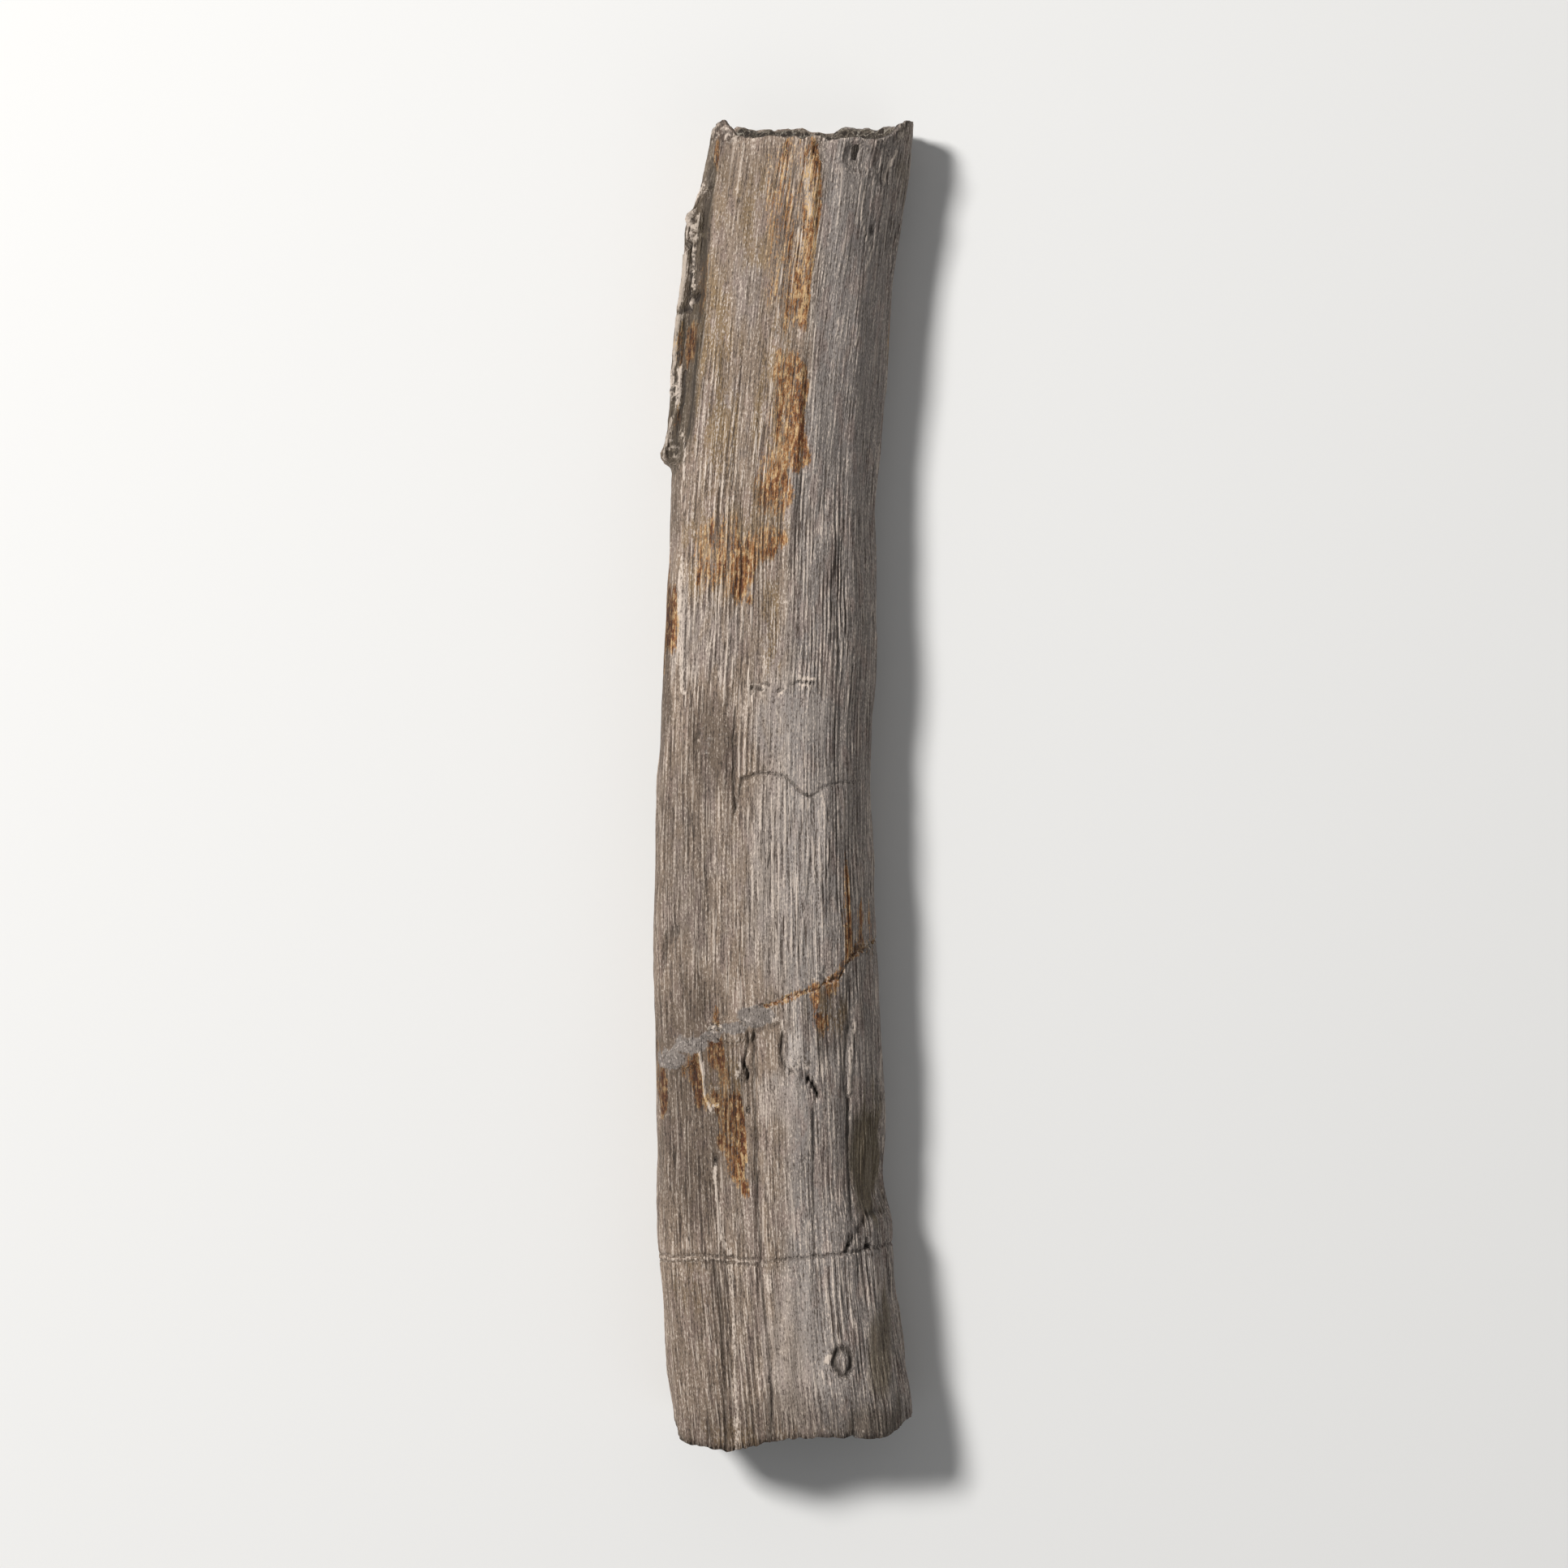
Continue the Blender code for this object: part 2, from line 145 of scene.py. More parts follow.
# Broad forms of the front: points (x, y), half width and height
FRONT_LINES = (
    (((-2.7, -24), (-2.5, -33), (-2.3, -41), (-1.5, -52), (-0.9, -60.5)), 0.75, -0.25),
    (((-6.6, -37), (-5, -43.5), (-5, -48), (-4.5, -61)), 0.7, -0.3),
    (((0.8, -46), (0.4, -54), (1, -60.5)), 1, 0.2),
    (((2.8, -30), (2.9, -42.5)), 0.5, -0.12),
    (((2.9, 58.5), (2.4, 50), (1.9, 43), (1.2, 30), (0.4, 21)), 0.7, 0.3),
    (((-4.6, 27), (-4.9, 14)), 0.9, 0.25),
)
FRONT_PATCHES = (
    ((6.9, 58.6), (1.5, 1.7), -0.4), ((3.4, 59), (0.9, 1.2), -0.35),
    ((9.3, 58.5), (0.9, 2.6), -0.4), ((8.2, -35.5), (2.2, 5.6), -0.3),
    ((-5.2, -23), (3, 1.3), 0.3), ((-9.6, -25.6), (1.9, 1.2), 0.3),
    ((-6.4, 4.3), (1.9, 2.4), 0.25), ((0.6, -32), (2.6, 5), 0.3),
)
BACK_PATCHES = (
    ((4, 18), (3.2, 9), -0.7), ((-5.5, -8), (2.6, 7), -0.6),
    ((2.5, -22), (2.4, 5), -0.5),
)

# Narrow cracks and flake edges of the front: points (x, y), half width, depth, darkness of dirt and
# painted shade
CRACKS = (
    # foot of the ledge, cuts and cracks on it
    (((-6.7, 57.8), (-6.9, 56), (-7.3, 53.8), (-7.45, 52)), 0.42, 0.35, 0.5),
    (((-7.5, 51), (-7.7, 47), (-8.1, 43.5)), 0.4, 0.35, 0.55),
    (((-8.2, 41.5), (-8.5, 38.5), (-8.7, 35.5), (-9, 32.6)), 0.22, 0.3, 0.8),
    (((-9.6, 50.65), (-8.75, 50.65)), 0.3, 0.6, 1),
    (((-8.85, 50.4), (-8.95, 48.6), (-9.05, 46.4)), 0.2, 0.45, 1),
    (((-8.1, 45.9), (-8.4, 45.4)), 0.3, 0.4, 1),
    (((-9.1, 46.2), (-9, 45.4)), 0.26, 0.35, 0.9),
    (((-9.5, 44.75), (-8.7, 44.75)), 0.24, 0.35, 0.95),
    (((-9.5, 44), (-9.45, 42), (-9.6, 39.4)), 0.16, 0.25, 0.6),
    (((-9.4, 38.6), (-9.5, 36), (-9.75, 34.6)), 0.2, 0.3, 0.9),
    (((-9.95, 35.2), (-10, 33.6)), 0.26, 0.3, 0.7),
    (((-10, 33.4), (-10.1, 31.3)), 0.2, 0.25, 0.7),
    (((-6.7, 58.6), (-7.2, 57), (-7.1, 55.5)), 0.2, 0.2, 0.7),
    # curved flake edge across the middle
    (((-4.6, -2.5), (-4.1, -0.6), (-3.9, 0.5), (-2.4, 1), (-0.1, 0.9), (1.4, -0.6), (2.6, -1.2)),
     0.22, 0.2, 0.55),
    (((2.6, -1.2), (4.1, -0.1), (7.1, 0.3)), 0.2, 0.1, 0.2),
    (((-9.6, -2.9), (-8.7, -3.6), (-7.7, -4.8)), 0.25, 0.2, 0.35),
    (((-9.9, -13.9), (-10.9, -14.3), (-11.2, -15.1), (-11.2, -17.3)), 0.3, 0.25, 0.6),
    (((-4.6, 7.3), (-4.8, 2), (-4.6, -2.5)), 0.16, 0.2, 0.6),
    (((-2.9, 9), (-2.2, 8.8)), 0.3, 0.2, 0.6),
    (((-2, 9.35), (-1.4, 9.25)), 0.2, 0.15, 0.5),
    (((-0.6, 8.7), (-0.2, 8.9)), 0.2, 0.15, 0.5),
    (((0.6, 9.3), (1.3, 9.5), (2.9, 9.5)), 0.15, 0.12, 0.5),
    # open cracks under the break
    (((-3.3, -23.2), (-3.45, -24.6), (-3.7, -26)), 0.18, 0.25, 0.55),
    (((-3.75, -26.2), (-3.45, -26.8), (-3.4, -27.6)), 0.2, 0.6, 1),
    (((-3, -23.9), (-2.5, -23.1), (-1.1, -22.4), (-0.3, -22.2)), 0.2, 0.2, 0.5),
    (((-0.1, -23), (-0.3, -25.2), (0, -26.4), (1.1, -26.9), (2, -27.4), (2.6, -28),
     (3.3, -29.2)), 0.17, 0.4, 0.6),
    (((2.1, -27.4), (2.6, -28), (3.3, -29.2)), 0.24, 0.5, 1),
    # long groove down the lower half
    (((-2.7, -22.4), (-2.8, -25.3), (-2.6, -32.9), (-2.4, -40.5), (-2.2, -45), (-1.6, -51.1),
     (-1.2, -55.7), (-1.2, -62.1)), 0.17, 0.2, 0.6),
    (((2.8, -30.2), (2.7, -36.7), (2.8, -42.8), (2.6, -48.1)), 0.15, 0.12, 0.5),
    (((6.1, -22.4), (5.8, -25.3), (5.6, -28.7), (6.1, -29.7), (9.4, -29.6)), 0.2, 0.12, 0.35),
    (((6.1, -29.7), (6, -34), (6.3, -40.5)), 0.22, 0.2, 0.6),
    (((9.6, -40), (7.9, -40.5), (7.1, -41.6), (6.1, -43), (5.8, -43.9)), 0.28, 0.25, 0.7),
    (((-6.6, -44.5), (-6, -48), (-5.6, -54), (-5.4, -61.5)), 0.26, 0.22, 0.45),
)

# Pale ridges of the front: points (x, y), half width, height, paleness
RIDGES = (
    # cream strips and white lines of the ledge
    (((-9.3, 50.35), (-9.4, 48.4), (-9.55, 46.4), (-9.7, 45.2)), 0.26, 0.15, 0.85),
    (((-8.6, 50.2), (-8.5, 48.6), (-8.6, 47.2), (-8.3, 46.4)), 0.18, 0.12, 0.7),
    (((-8.7, 45.5), (-8.9, 44.9)), 0.26, 0.2, 0.9),
    (((-9.75, 44.2), (-9.95, 41), (-10.1, 39.4)), 0.22, 0.12, 0.75),
    (((-10.3, 38.95), (-9.6, 38.95)), 0.2, 0.15, 0.8),
    (((-9.7, 38.9), (-9.75, 37), (-9.9, 35.5)), 0.16, 0.1, 0.8),
    (((-10.3, 38.5), (-10.45, 36.6)), 0.2, 0.15, 0.8),
    (((-9.75, 33.4), (-9.35, 32.4), (-9.25, 31), (-9.4, 28.8)), 0.15, 0.12, 0.8),
    (((-10.5, 34.6), (-11.1, 32.4), (-11.55, 31)), 0.2, 0.1, 0.8),
    (((-7.8, 56.3), (-8.1, 55.4), (-8.4, 54.8)), 0.18, 0.15, 0.8),
    (((-8.95, 53.8), (-9.15, 52.4), (-9.2, 51.2)), 0.22, 0.15, 0.6),
    (((-7.8, -25.2), (-7.6, -26.8), (-7.4, -29), (-6.9, -30.2), (-5.7, -29.9)), 0.19, 0.2, 0.95),
    (((-6.5, -35.9), (-6.4, -38.2), (-6.1, -40.5), (-5.8, -42.8), (-5, -43.9)), 0.24, 0.15, 0.85),
    (((-5, -45), (-4.8, -48.1), (-4.6, -55.7), (-4.4, -62.1)), 0.3, 0.15, 0.4),
    (((2.4, 58.9), (2.9, 54.4), (2.7, 48.3), (2.5, 42.6)), 0.16, 0.06, 0.6),
    (((2.3, 57.6), (2.1, 55.4), (2.5, 53)), 0.5, 0.05, 0.6),
    (((1.9, 50.6), (1.7, 48), (2, 45.4), (1.4, 43.4)), 0.4, 0.05, 0.45),
    (((7.5, 55.5), (7.2, 53.2), (8.3, 49.8), (7.7, 48.3)), 0.12, 0.04, 1),
    (((7, 43.2), (6.6, 41)), 0.11, 0.04, 0.8),
    (((5, 43.4), (5.1, 41.6)), 0.1, 0.03, 0.6),
    (((-1.6, -45.6), (-1.3, -47.5)), 0.5, 0.1, 0.6),
    (((4.3, -53.4), (4, -54)), 0.45, 0.1, 0.9),
    (((10.5, 59.6), (10.1, 58.2), (9.5, 56.4), (8.6, 55.8)), 0.14, 0.08, 1),
    (((1.3, 9.8), (2.9, 9.85)), 0.2, 0.1, 1),
    (((1.5, 9.2), (2.5, 9.2)), 0.16, 0.06, 0.9),
    (((-0.4, 8.55), (0, 8.8)), 0.2, 0.15, 0.9),
    (((-0.9, -22), (-0.2, -22), (0, -23.4)), 0.2, 0.15, 0.8),
    (((-7, -22.8), (-5.9, -22.9)), 0.26, 0.2, 0.8),
    (((-9.6, 21), (-9.7, 14), (-9.4, 8.5)), 0.35, 0.15, 0.6),
    (((6.6, -22.4), (6.3, -25.3), (6.1, -28.9)), 0.24, 0.1, 0.6),
)

# Small pits: centre (x, y), half sizes, depth, darkness of dirt and painted shade
PITS = (
    ((-10.1, -13.5), (0.3, 0.32), 0.5, 1), ((-7.9, 5), (0.25, 0.3), 0.3, 0.8),
    ((-8.3, 4.1), (0.2, 0.25), 0.3, 0.7), ((-6.4, -35.2), (0.3, 0.35), 0.4, 0.9),
    ((-3.3, -30.5), (0.25, 0.3), 0.4, 0.8), ((6.1, -43), (0.35, 0.45), 0.6, 1),
    ((7.9, -43.4), (0.35, 0.3), 0.5, 1), ((8.4, 52.1), (0.25, 0.45), 0.2, 0.6),
    ((-1, 20.3), (0.22, 0.25), 0.3, 0.7), ((-1.4, -55.4), (0.22, 0.25), 0.3, 0.7),
    ((-1.4, -7), (0.18, 0.5), 0.2, 0.5), ((-4.2, 54.5), (0.18, 0.35), 0.2, 0.8),
)
# Rings: centre (x, y), half sizes, height, and how dark or pale they are
RINGS = (
    ((5.5, -53.9), (1, 1.5), -0.4, "dirt_and_painted_shade"),
    ((-8.45, 53.2), (0.62, 0.75), 0.35, "pale"),
    ((-8.4, 51.9), (0.5, 0.7), 0.35, "pale"),
    ((7.6, 58.7), (1.1, 1.3), -0.12, "dirt_and_painted_shade"),
)

# Rust of the front in bands: rows of (y, left, right), how soft the left edge is, strength
RUST_BANDS = (
    # streaks of the upper half, from the top down
    (((60.4, 0, 2.6), (59.2, 1.4, 3.2), (55.7, 1.5, 3.6), (52.8, 1.7, 3.4), (51, 1.3, 3),
     (48.9, 0.8, 2.9), (45.6, 0, 2.4), (42.4, 0.2, 2)), 1.2, 0.85),
    (((60.2, -1.8, 1.2), (57, -1.4, 0.8), (50, -1.4, 1), (44, -1.6, 0.6)), 1.2, 0.5),
    (((40.6, 0, 1.3), (38.7, -0.2, 2.15), (37, -0.4, 2), (34.9, -0.8, 1.7), (31.9, -1.2, 1.8),
     (30, -1.6, 2.3), (29.4, -1.7, 1.9), (29, -1.8, 0.3), (28.2, -2, 0.3), (27.7, -2.2, 0.8),
     (26.9, -2.2, 1.05), (26.2, -2, 0.7), (25, -1.8, -0.4)), 1.4, 1),
    (((24, -2.4, 0.1), (22.8, -3.2, 0.1), (21.3, -3.9, -1.2), (19.8, -5.2, -2.5), (18.2, -5.4, -3.4),
     (17, -4.7, -3.4)), 1.6, 0.95),
    (((25.2, -8, -4.2), (21.5, -8.4, -3.8), (18, -8, -4.4)), 0.8, 0.65),
    (((18.4, -12.2, -10), (15, -12.3, -9.7), (12, -12.3, -10.1)), 0.2, 1.35),
    # dark streaks above the right end of the break
    (((-6, 5.6, 5.8), (-11, 5.5, 6.15), (-16.2, 5.6, 6.5)), 0.3, 1.3),
    (((-11.4, 7, 7.1), (-13.6, 6.8, 7.3), (-15.6, 6.5, 7.6)), 0.4, 1),
    (((-12, 8, 8.1), (-13.6, 7.8, 8.4), (-15.2, 7.6, 8.3)), 0.4, 0.9),
    # under the break
    (((-21.2, 2.6, 4), (-23.1, 2.8, 4.3)), 0.5, 1.15),
    (((-20.8, -6.6, -6.2), (-22.6, -6.9, -5.9)), 0.25, 0.95),
    (((-23.3, -7.3, -5.9), (-25, -7.3, -5.5), (-26.8, -6.9, -5.5)), 0.3, 1.05),
    (((-26.4, -6.2, -5.2), (-28.8, -6.2, -5)), 0.3, 0.7),
    (((-26.6, -12.1, -11.2), (-28.2, -12.1, -10.9), (-31, -12.1, -11.4)), 0.2, 1.2),
    (((-25.4, -9.4, -7.9), (-27, -9.6, -7.7), (-29, -8.4, -7.4), (-30.6, -8.1, -6.4)), 0.3, 1),
    (((-28.6, -5.8, -4), (-30, -7.4, -3.7), (-30.9, -7.2, -3.6), (-31.4, -6.2, -3.6),
     (-33.6, -6.2, -3.5), (-35.4, -5.5, -3.4), (-36.9, -5.3, -3.9), (-38, -4.4, -3.8)), 0.2, 1.15),
    # on the ledge
    (((43.6, -9.2, -8.1), (41, -9.3, -8.3), (39.1, -9.3, -8.5)), 0.2, 1.1),
    (((42.7, -10.1, -9.5), (39.1, -10.2, -9.6)), 0.2, 0.6),
    (((50, -7.8, -7), (44, -8.3, -7.5)), 0.3, 0.7),
    (((35.3, -10.3, -9.8), (33.4, -10.3, -9.9)), 0.2, 1.4),
)
# Narrow rust along the break, in cracks and in dark blots: points (x, y), half width, strength
RUST_LINES = (
    (((7.5, -15.1), (5.5, -16.8), (4.9, -18.1), (3.2, -18.9), (1.6, -19.5), (-0.5, -20.4)), 0.45, 0.95),
    (((4.9, -18.4), (4.3, -19.2), (3, -19.9)), 0.8, 0.9),
    (((4.9, -17.9), (4.4, -18.4)), 0.35, 1.5),
    (((3.4, -21.7), (3.5, -22.6)), 0.4, 1.4),
    (((0.3, 27.3), (0.6, 26.6)), 0.5, 1.35),
    (((2, 37.5), (1.6, 34.8), (1.7, 31.9), (2.1, 30.2)), 0.35, 1.3),
    (((-4.4, 20), (-4.3, 17.3)), 0.35, 1.5),
    (((-4, 17.5), (-3.4, 17.3)), 0.4, 1.5),
    (((1.8, 38.9), (1.85, 38.2)), 0.4, 1.7),
    (((-0.6, 23.2), (0, 22.6)), 0.4, 1.3),
    (((-6.1, 21.4), (-6, 19.3)), 0.3, 1.15),
    (((-7.4, 20.8), (-8.1, 18.8)), 0.5, 0.75),
    (((-5.9, -33), (-5.8, -34)), 0.45, 1.6),
    (((-3.75, -37.3), (-3.65, -38.4)), 0.45, 1.5),
    (((-6.2, 60.4), (-6.4, 57.6)), 0.3, 0.9),
    (((3.35, 58.2), (3.3, 56.4)), 0.2, 1.3),
)
# Warm brown bone: centre (x, y), half sizes, strength, here and in the tables that follow
BROWN_TINTS = (
    ((-6.5, 38), (2.4, 13), 0.9), ((-0.9, 36), (2.2, 10), 0.8),
    ((-2, 52), (1.8, 7), 0.7), ((-5.5, 55), (1.8, 4), 0.4),
    ((-1.2, 14.5), (1.4, 6), 0.8), ((-6.6, 22), (3.2, 6), 0.8),
    ((-2, 24), (3, 5), 0.6), ((4.4, -21.4), (2.2, 2.8), 0.8),
    ((-5.8, -27.5), (1.8, 3.5), 0.8), ((-8.5, -47), (1.6, 2.6), 0.5),
    ((-5, -61), (4, 1.2), 0.6), ((2, -60.6), (4.5, 0.9), 0.5),
)
# Darker, duller bone, partly painted shade: the ledge, the left side, the bottom end, under the break
# and the horns
DULL_BONE_AND_PAINTED_SHADE = (
    ((-8.6, -30), (4.6, 15), 0.8), ((0.5, -62), (16, 6), 0.72),
    ((-6.6, 3), (2.6, 6.5), 0.72), ((-9.6, -7), (4.2, 12), 0.42),
    ((-7.6, -52), (4.4, 10), 0.4), ((-5.6, -29.5), (2.8, 6), 0.4),
    ((4.6, -22.4), (3, 4), 0.65), ((-6.6, 58.6), (2.6, 3), 0.4),
    ((-11.7, 12), (1.7, 14), 0.9), ((-10.6, 27), (1.2, 6), 0.6),
    ((-11.3, -24), (2.2, 5), 0.7), ((-9.4, -25), (3, 2), 0.6),
    ((4.6, -33), (2, 9), 0.3), ((-5.8, 61.4), (2.6, 2.2), 0.8),
    ((10.2, 62), (3, 1.6), 0.6), ((-10.8, 15.2), (1.3, 3.8), 1),
)
# Lighter bone: paler patches under the break, and painted light down the middle of the front
PALE_BONE_AND_PAINTED_LIGHT = (
    ((0.4, -8), (4.4, 14), 0.45), ((0.4, 7), (4.6, 5), 0.3),
    ((1.2, -53), (3.6, 9), 0.35), ((1.3, -25), (1.3, 2.2), 0.95),
    ((0, -29.6), (2.4, 2.8), 0.4), ((-9.2, 14), (1, 6), 0.5),
)
# Cool lilac bone
COOL = (
    ((0.8, 5.6), (4.6, 4.6), 0.9), ((-6.2, 14), (3, 5), 0.6),
    ((1, 13), (4.6, 6), 0.5), ((0.6, -9), (5.6, 11.5), 0.5),
    ((-8, -8), (4.4, 12), 0.35), ((1.2, -26), (2.4, 6), 0.6),
    ((0.5, -46), (9, 17), 0.25), ((6.4, 40), (4, 20), 0.6),
    ((-7.4, 57), (1.6, 3), 0.3), ((-3.4, 46), (1.2, 5), 0.5),
    ((-4.4, 34), (0.8, 4), 0.5), ((-8.2, 37), (0.8, 6), 0.5),
)
# Crumbly bone: horns of the fracture, and specks along the ledge, the break and the scars
CRUMBLY = (
    ((-5.4, 61.4), (2.6, 1.5), 0.55), ((10.3, 61.8), (2.8, 1.6), 0.55),
    ((-8.7, 48), (0.5, 3.6), 0.7), ((-10.15, 37.1), (0.5, 2), 0.7),
    ((-8.9, 52.4), (0.9, 1.7), 0.5), ((-7.6, 56.2), (0.5, 1), 0.6),
    ((-10.6, 31.4), (1, 1.6), 0.45), ((7.4, -15.4), (1.1, 0.7), 0.5),
    ((4.2, -17.8), (2.4, 0.7), 0.5), ((-6.4, -22.8), (0.9, 0.5), 0.7),
    ((-2.5, 9), (1.2, 0.8), 0.5), ((-3.9, -26.8), (0.7, 1.3), 0.6),
    ((1.5, -26.2), (1.3, 1), 0.5),
)
# Smooth grey filler and matrix
FILLER = (
    ((-2.5, -21.7), (2.2, 1.2), 0.95), ((-4.8, -22.9), (1.7, 0.75), 0.9),
    ((-6.8, -23.6), (1.3, 0.7), 0.85), ((-8.6, -24.4), (1.9, 1), 0.9),
    ((-10.6, -25.8), (1.8, 1.2), 0.9), ((-6.5, 4.2), (1.9, 2.8), 0.3),
    ((8.1, -15.2), (0.5, 0.5), 0.9),
)
# Dull olive stain
OLIVE = (
    ((8.3, -35.2), (2.6, 6.4), 0.95), ((9, -53.5), (1.3, 5), 0.75),
    ((-7, 57.5), (0.8, 4), 0.6), ((11.6, 58), (1.2, 5), 0.5),
    ((8.6, -60), (3.4, 1.8), 0.4), ((-7.7, 54), (0.8, 2), 0.7),
)
# Where the fibres stand out strongly, and where the surface is smooth
ROUGH = (
    ((-5.6, 20.5), (3.4, 14), 0.7), ((1.5, -9), (3.6, 11), 0.55),
    ((-9.2, -37), (2.6, 8), 0.4), ((3.6, 14), (3.6, 14), 0.45),
    ((5.6, -47.5), (3, 5), 0.5), ((2.2, 51), (1.2, 9.5), 0.5),
)
SMOOTH = (
    ((-4, 50), (3.6, 12), 0.5), ((6, 42), (4.2, 18), 0.45),
    ((0.7, -31.6), (2.1, 4.6), 0.85), ((0.9, -40), (1.8, 5), 0.5),
    ((1, -51.5), (2.4, 7), 0.75), ((-6.4, 4.2), (2, 2.8), 0.8),
    ((0.8, 5.4), (4, 4), 0.55), ((-3, -22.2), (4, 1.3), 0.9),
    ((-9.6, -25.3), (2.2, 1.6), 0.9),
)

# Fibres of the bone: how high, how far apart, and loose strands of (width, length, share)
FIBRE_HEIGHT = 0.06
FIBRE_PITCHES = (0.4, 0.54)
STRANDS = ((0.15, 2.6, 0.45), (0.28, 5, 0.15))
TERRACE_HEIGHT = 0.04
CRUMB_HEIGHT = 0.22

# Values of the random noise, and the large primes that scatter them over its cells
NOISE_VALUES = 4096
NOISE_PRIMES = (73856093, 19349663, 83492791)

# Fracture faces: depth of the spongy middle behind the rim, in millimetres
TOP_RECESS = 1.5
BOTTOM_RECESS = 0.9
LUMP_HEIGHT = 0.4
UNDERCUT = 1.3
RIM_JAG = 0.16

# The photograph's frame: 1932 pixels a side show this many millimetres at the front face
FRAME_WIDTH = 146.6
FRONT_HEIGHT = 11.0
LENS = 110.0
SENSOR = 36.0
CLIP_START = 0.01

FLOOR_COLOUR = (0.70, 0.69, 0.67, 1)
FLOOR_HALF = 1.5
FLOOR_DROP = 0.00005

# Soft key from the upper left and weak fill: name, place and size in metres, power
LIGHTS = (
    ("key", (-0.50, 0.32, 0.68), 0.16, 10.2),
    ("fill", (0.5, -0.4, 0.7), 0.6, 0.5),
)
SURROUND_COLOUR = (0.95, 0.97, 1, 1)
SURROUND_STRENGTH = 0.24


def straight(points, at):
    """A value that runs through (place, value) points, straight between them."""
    place, value = zip(*points)
    return np.interp(at, place, value)


def curve(points, at):
    """A value that runs smoothly through (place, value) points."""
    place, value = np.array(points, float).T
    slope = np.gradient(value, place)
    at = np.clip(at, place[0], place[-1])
    low = np.clip(np.searchsorted(place, at) - 1, 0, len(place) - 2)
    span = place[low + 1] - place[low]
    s = (at - place[low]) / span
    rise = value[low] * (1 + 2 * s) * (1 - s) ** 2 + value[low + 1] * s * s * (3 - 2 * s)
    return rise + span * (slope[low] * s * (1 - s) ** 2 - slope[low + 1] * s * s * (1 - s))


def loop_curve(points, at):
    """Points on a closed smooth curve; at counts from 0 to the number of points."""
    points = np.array(points, float)
    count = len(points)
    first = np.floor(at).astype(int)
    s = (at - first)[:, None]
    a, b, c, d = (points[(first + k) % count] for k in (-1, 0, 1, 2))
    bend = (2 * a - 5 * b + 4 * c - d) * s ** 2 + (3 * b - a - 3 * c + d) * s ** 3
    return 0.5 * (2 * b + (c - a) * s + bend)


def step(x, low, high):
    """Smooth step from 0 at low to 1 at high."""
    part = np.clip((x - low) / (high - low), 0.0, 1.0)
    return part * part * (3.0 - 2.0 * part)


def near(off, inner, outer):
    """1 within the inner distance of a line, 0 beyond the outer one."""
    return 1.0 - step(np.abs(off), inner, outer)


def line_distance(points, x, y):
    """Distance from each (x, y) to a line through the points."""
    nearest = np.full(np.shape(x), np.inf)
    for (x0, y0), (x1, y1) in zip(points, points[1:]):
        dx, dy = x1 - x0, y1 - y0
        part = np.clip(((x - x0) * dx + (y - y0) * dy) / (dx * dx + dy * dy), 0.0, 1.0)
        nearest = np.minimum(nearest, np.hypot(x - x0 - part * dx, y - y0 - part * dy))
    return nearest


def patch(centre, half, x, y):
    """A rounded patch that is 1 in its middle and 0 beyond its half sizes."""
    reach = np.hypot((x - centre[0]) / half[0], (y - centre[1]) / half[1])
    return near(reach, 0.6, 1.05)


def band(rows, soft, x, y):
    """A lengthwise band of (y, left, right) rows with a soft left and a crisp right edge."""
    place, left, right = np.array(rows[::-1], float).T
    left = np.interp(y, place, left)
    right = np.interp(y, place, right)
    from_left = 0.65 * step(x, left - soft, left + 0.4) + 0.35 * step(x, left, right)
    from_right = step(right - x, -0.15, 0.15)
    ends = step(y, place[0] - 0.4, place[0] + 0.8) * step(y, place[-1] + 0.4, place[-1] - 0.8)
    return from_left * from_right * ends


def noise(point, size, seed):
    """Smooth random values from -1 to 1 over space, in cells of the given size."""
    table = np.random.default_rng(seed).uniform(-1.0, 1.0, NOISE_VALUES)
    place = point / np.array(size)
    cell = np.floor(place).astype(np.int64)
    part = place - cell
    part = part * part * (3.0 - 2.0 * part)
    total = np.zeros(point.shape[:-1])
    for corner in np.ndindex(2, 2, 2):
        x, y, z = np.moveaxis((cell + corner) * NOISE_PRIMES, -1, 0)
        value = table[(x ^ y ^ z) % NOISE_VALUES]
        weight = np.prod(np.where(corner, part, 1.0 - part), axis=-1)
        total += value * weight
    return total


def column_places():
    """Places round the section, closer together over the front than underneath."""
    return np.concatenate([k + np.arange(count) / count for k, count in enumerate(COLUMNS)])


def round_line(line, across, front):
    """The y of a line that runs round the shaft, at each column."""
    over_front, over_back = line
    return np.where(front, straight(over_front, across), straight(over_back, across))


def jagged(line, across, front, seed):
    """A rim line with the small teeth of broken bone."""
    around = np.where(front, across, 4.0 - across) * 10.0
    place = np.stack([around, 0.0 * around, 0.0 * around], axis=-1)
    teeth = noise(place, (0.9, 1, 1), seed) + 0.6 * noise(place, (0.35, 1, 1), seed + 1)
    return round_line(line, across, front) + RIM_JAG * teeth


def level(y):
    """A line at one height right round the shaft."""
    return (((0.0, y),), ((0.0, y),))


# Rows from the bottom up: the line where a stretch of them ends, how far apart they are,
# and where the rows along that line lie
ROW_STOPS = (
    (level(-56.0), ROW_PITCH, (0.0,)),
    (level(-51.8), FINE_ROW_PITCH, (0.0,)),
    (CRACK, ROW_PITCH, SEAM_OFFSETS),
    (level(-33.0), ROW_PITCH, (0.0,)),
    (BREAK, FINE_ROW_PITCH, SEAM_OFFSETS),
    (FLAKE, ROW_PITCH, SEAM_OFFSETS),
    (SCUFF, ROW_PITCH, SEAM_OFFSETS),
    (level(LEDGE_ENDS[0] - 1.0), ROW_PITCH, (0.0,)),
)


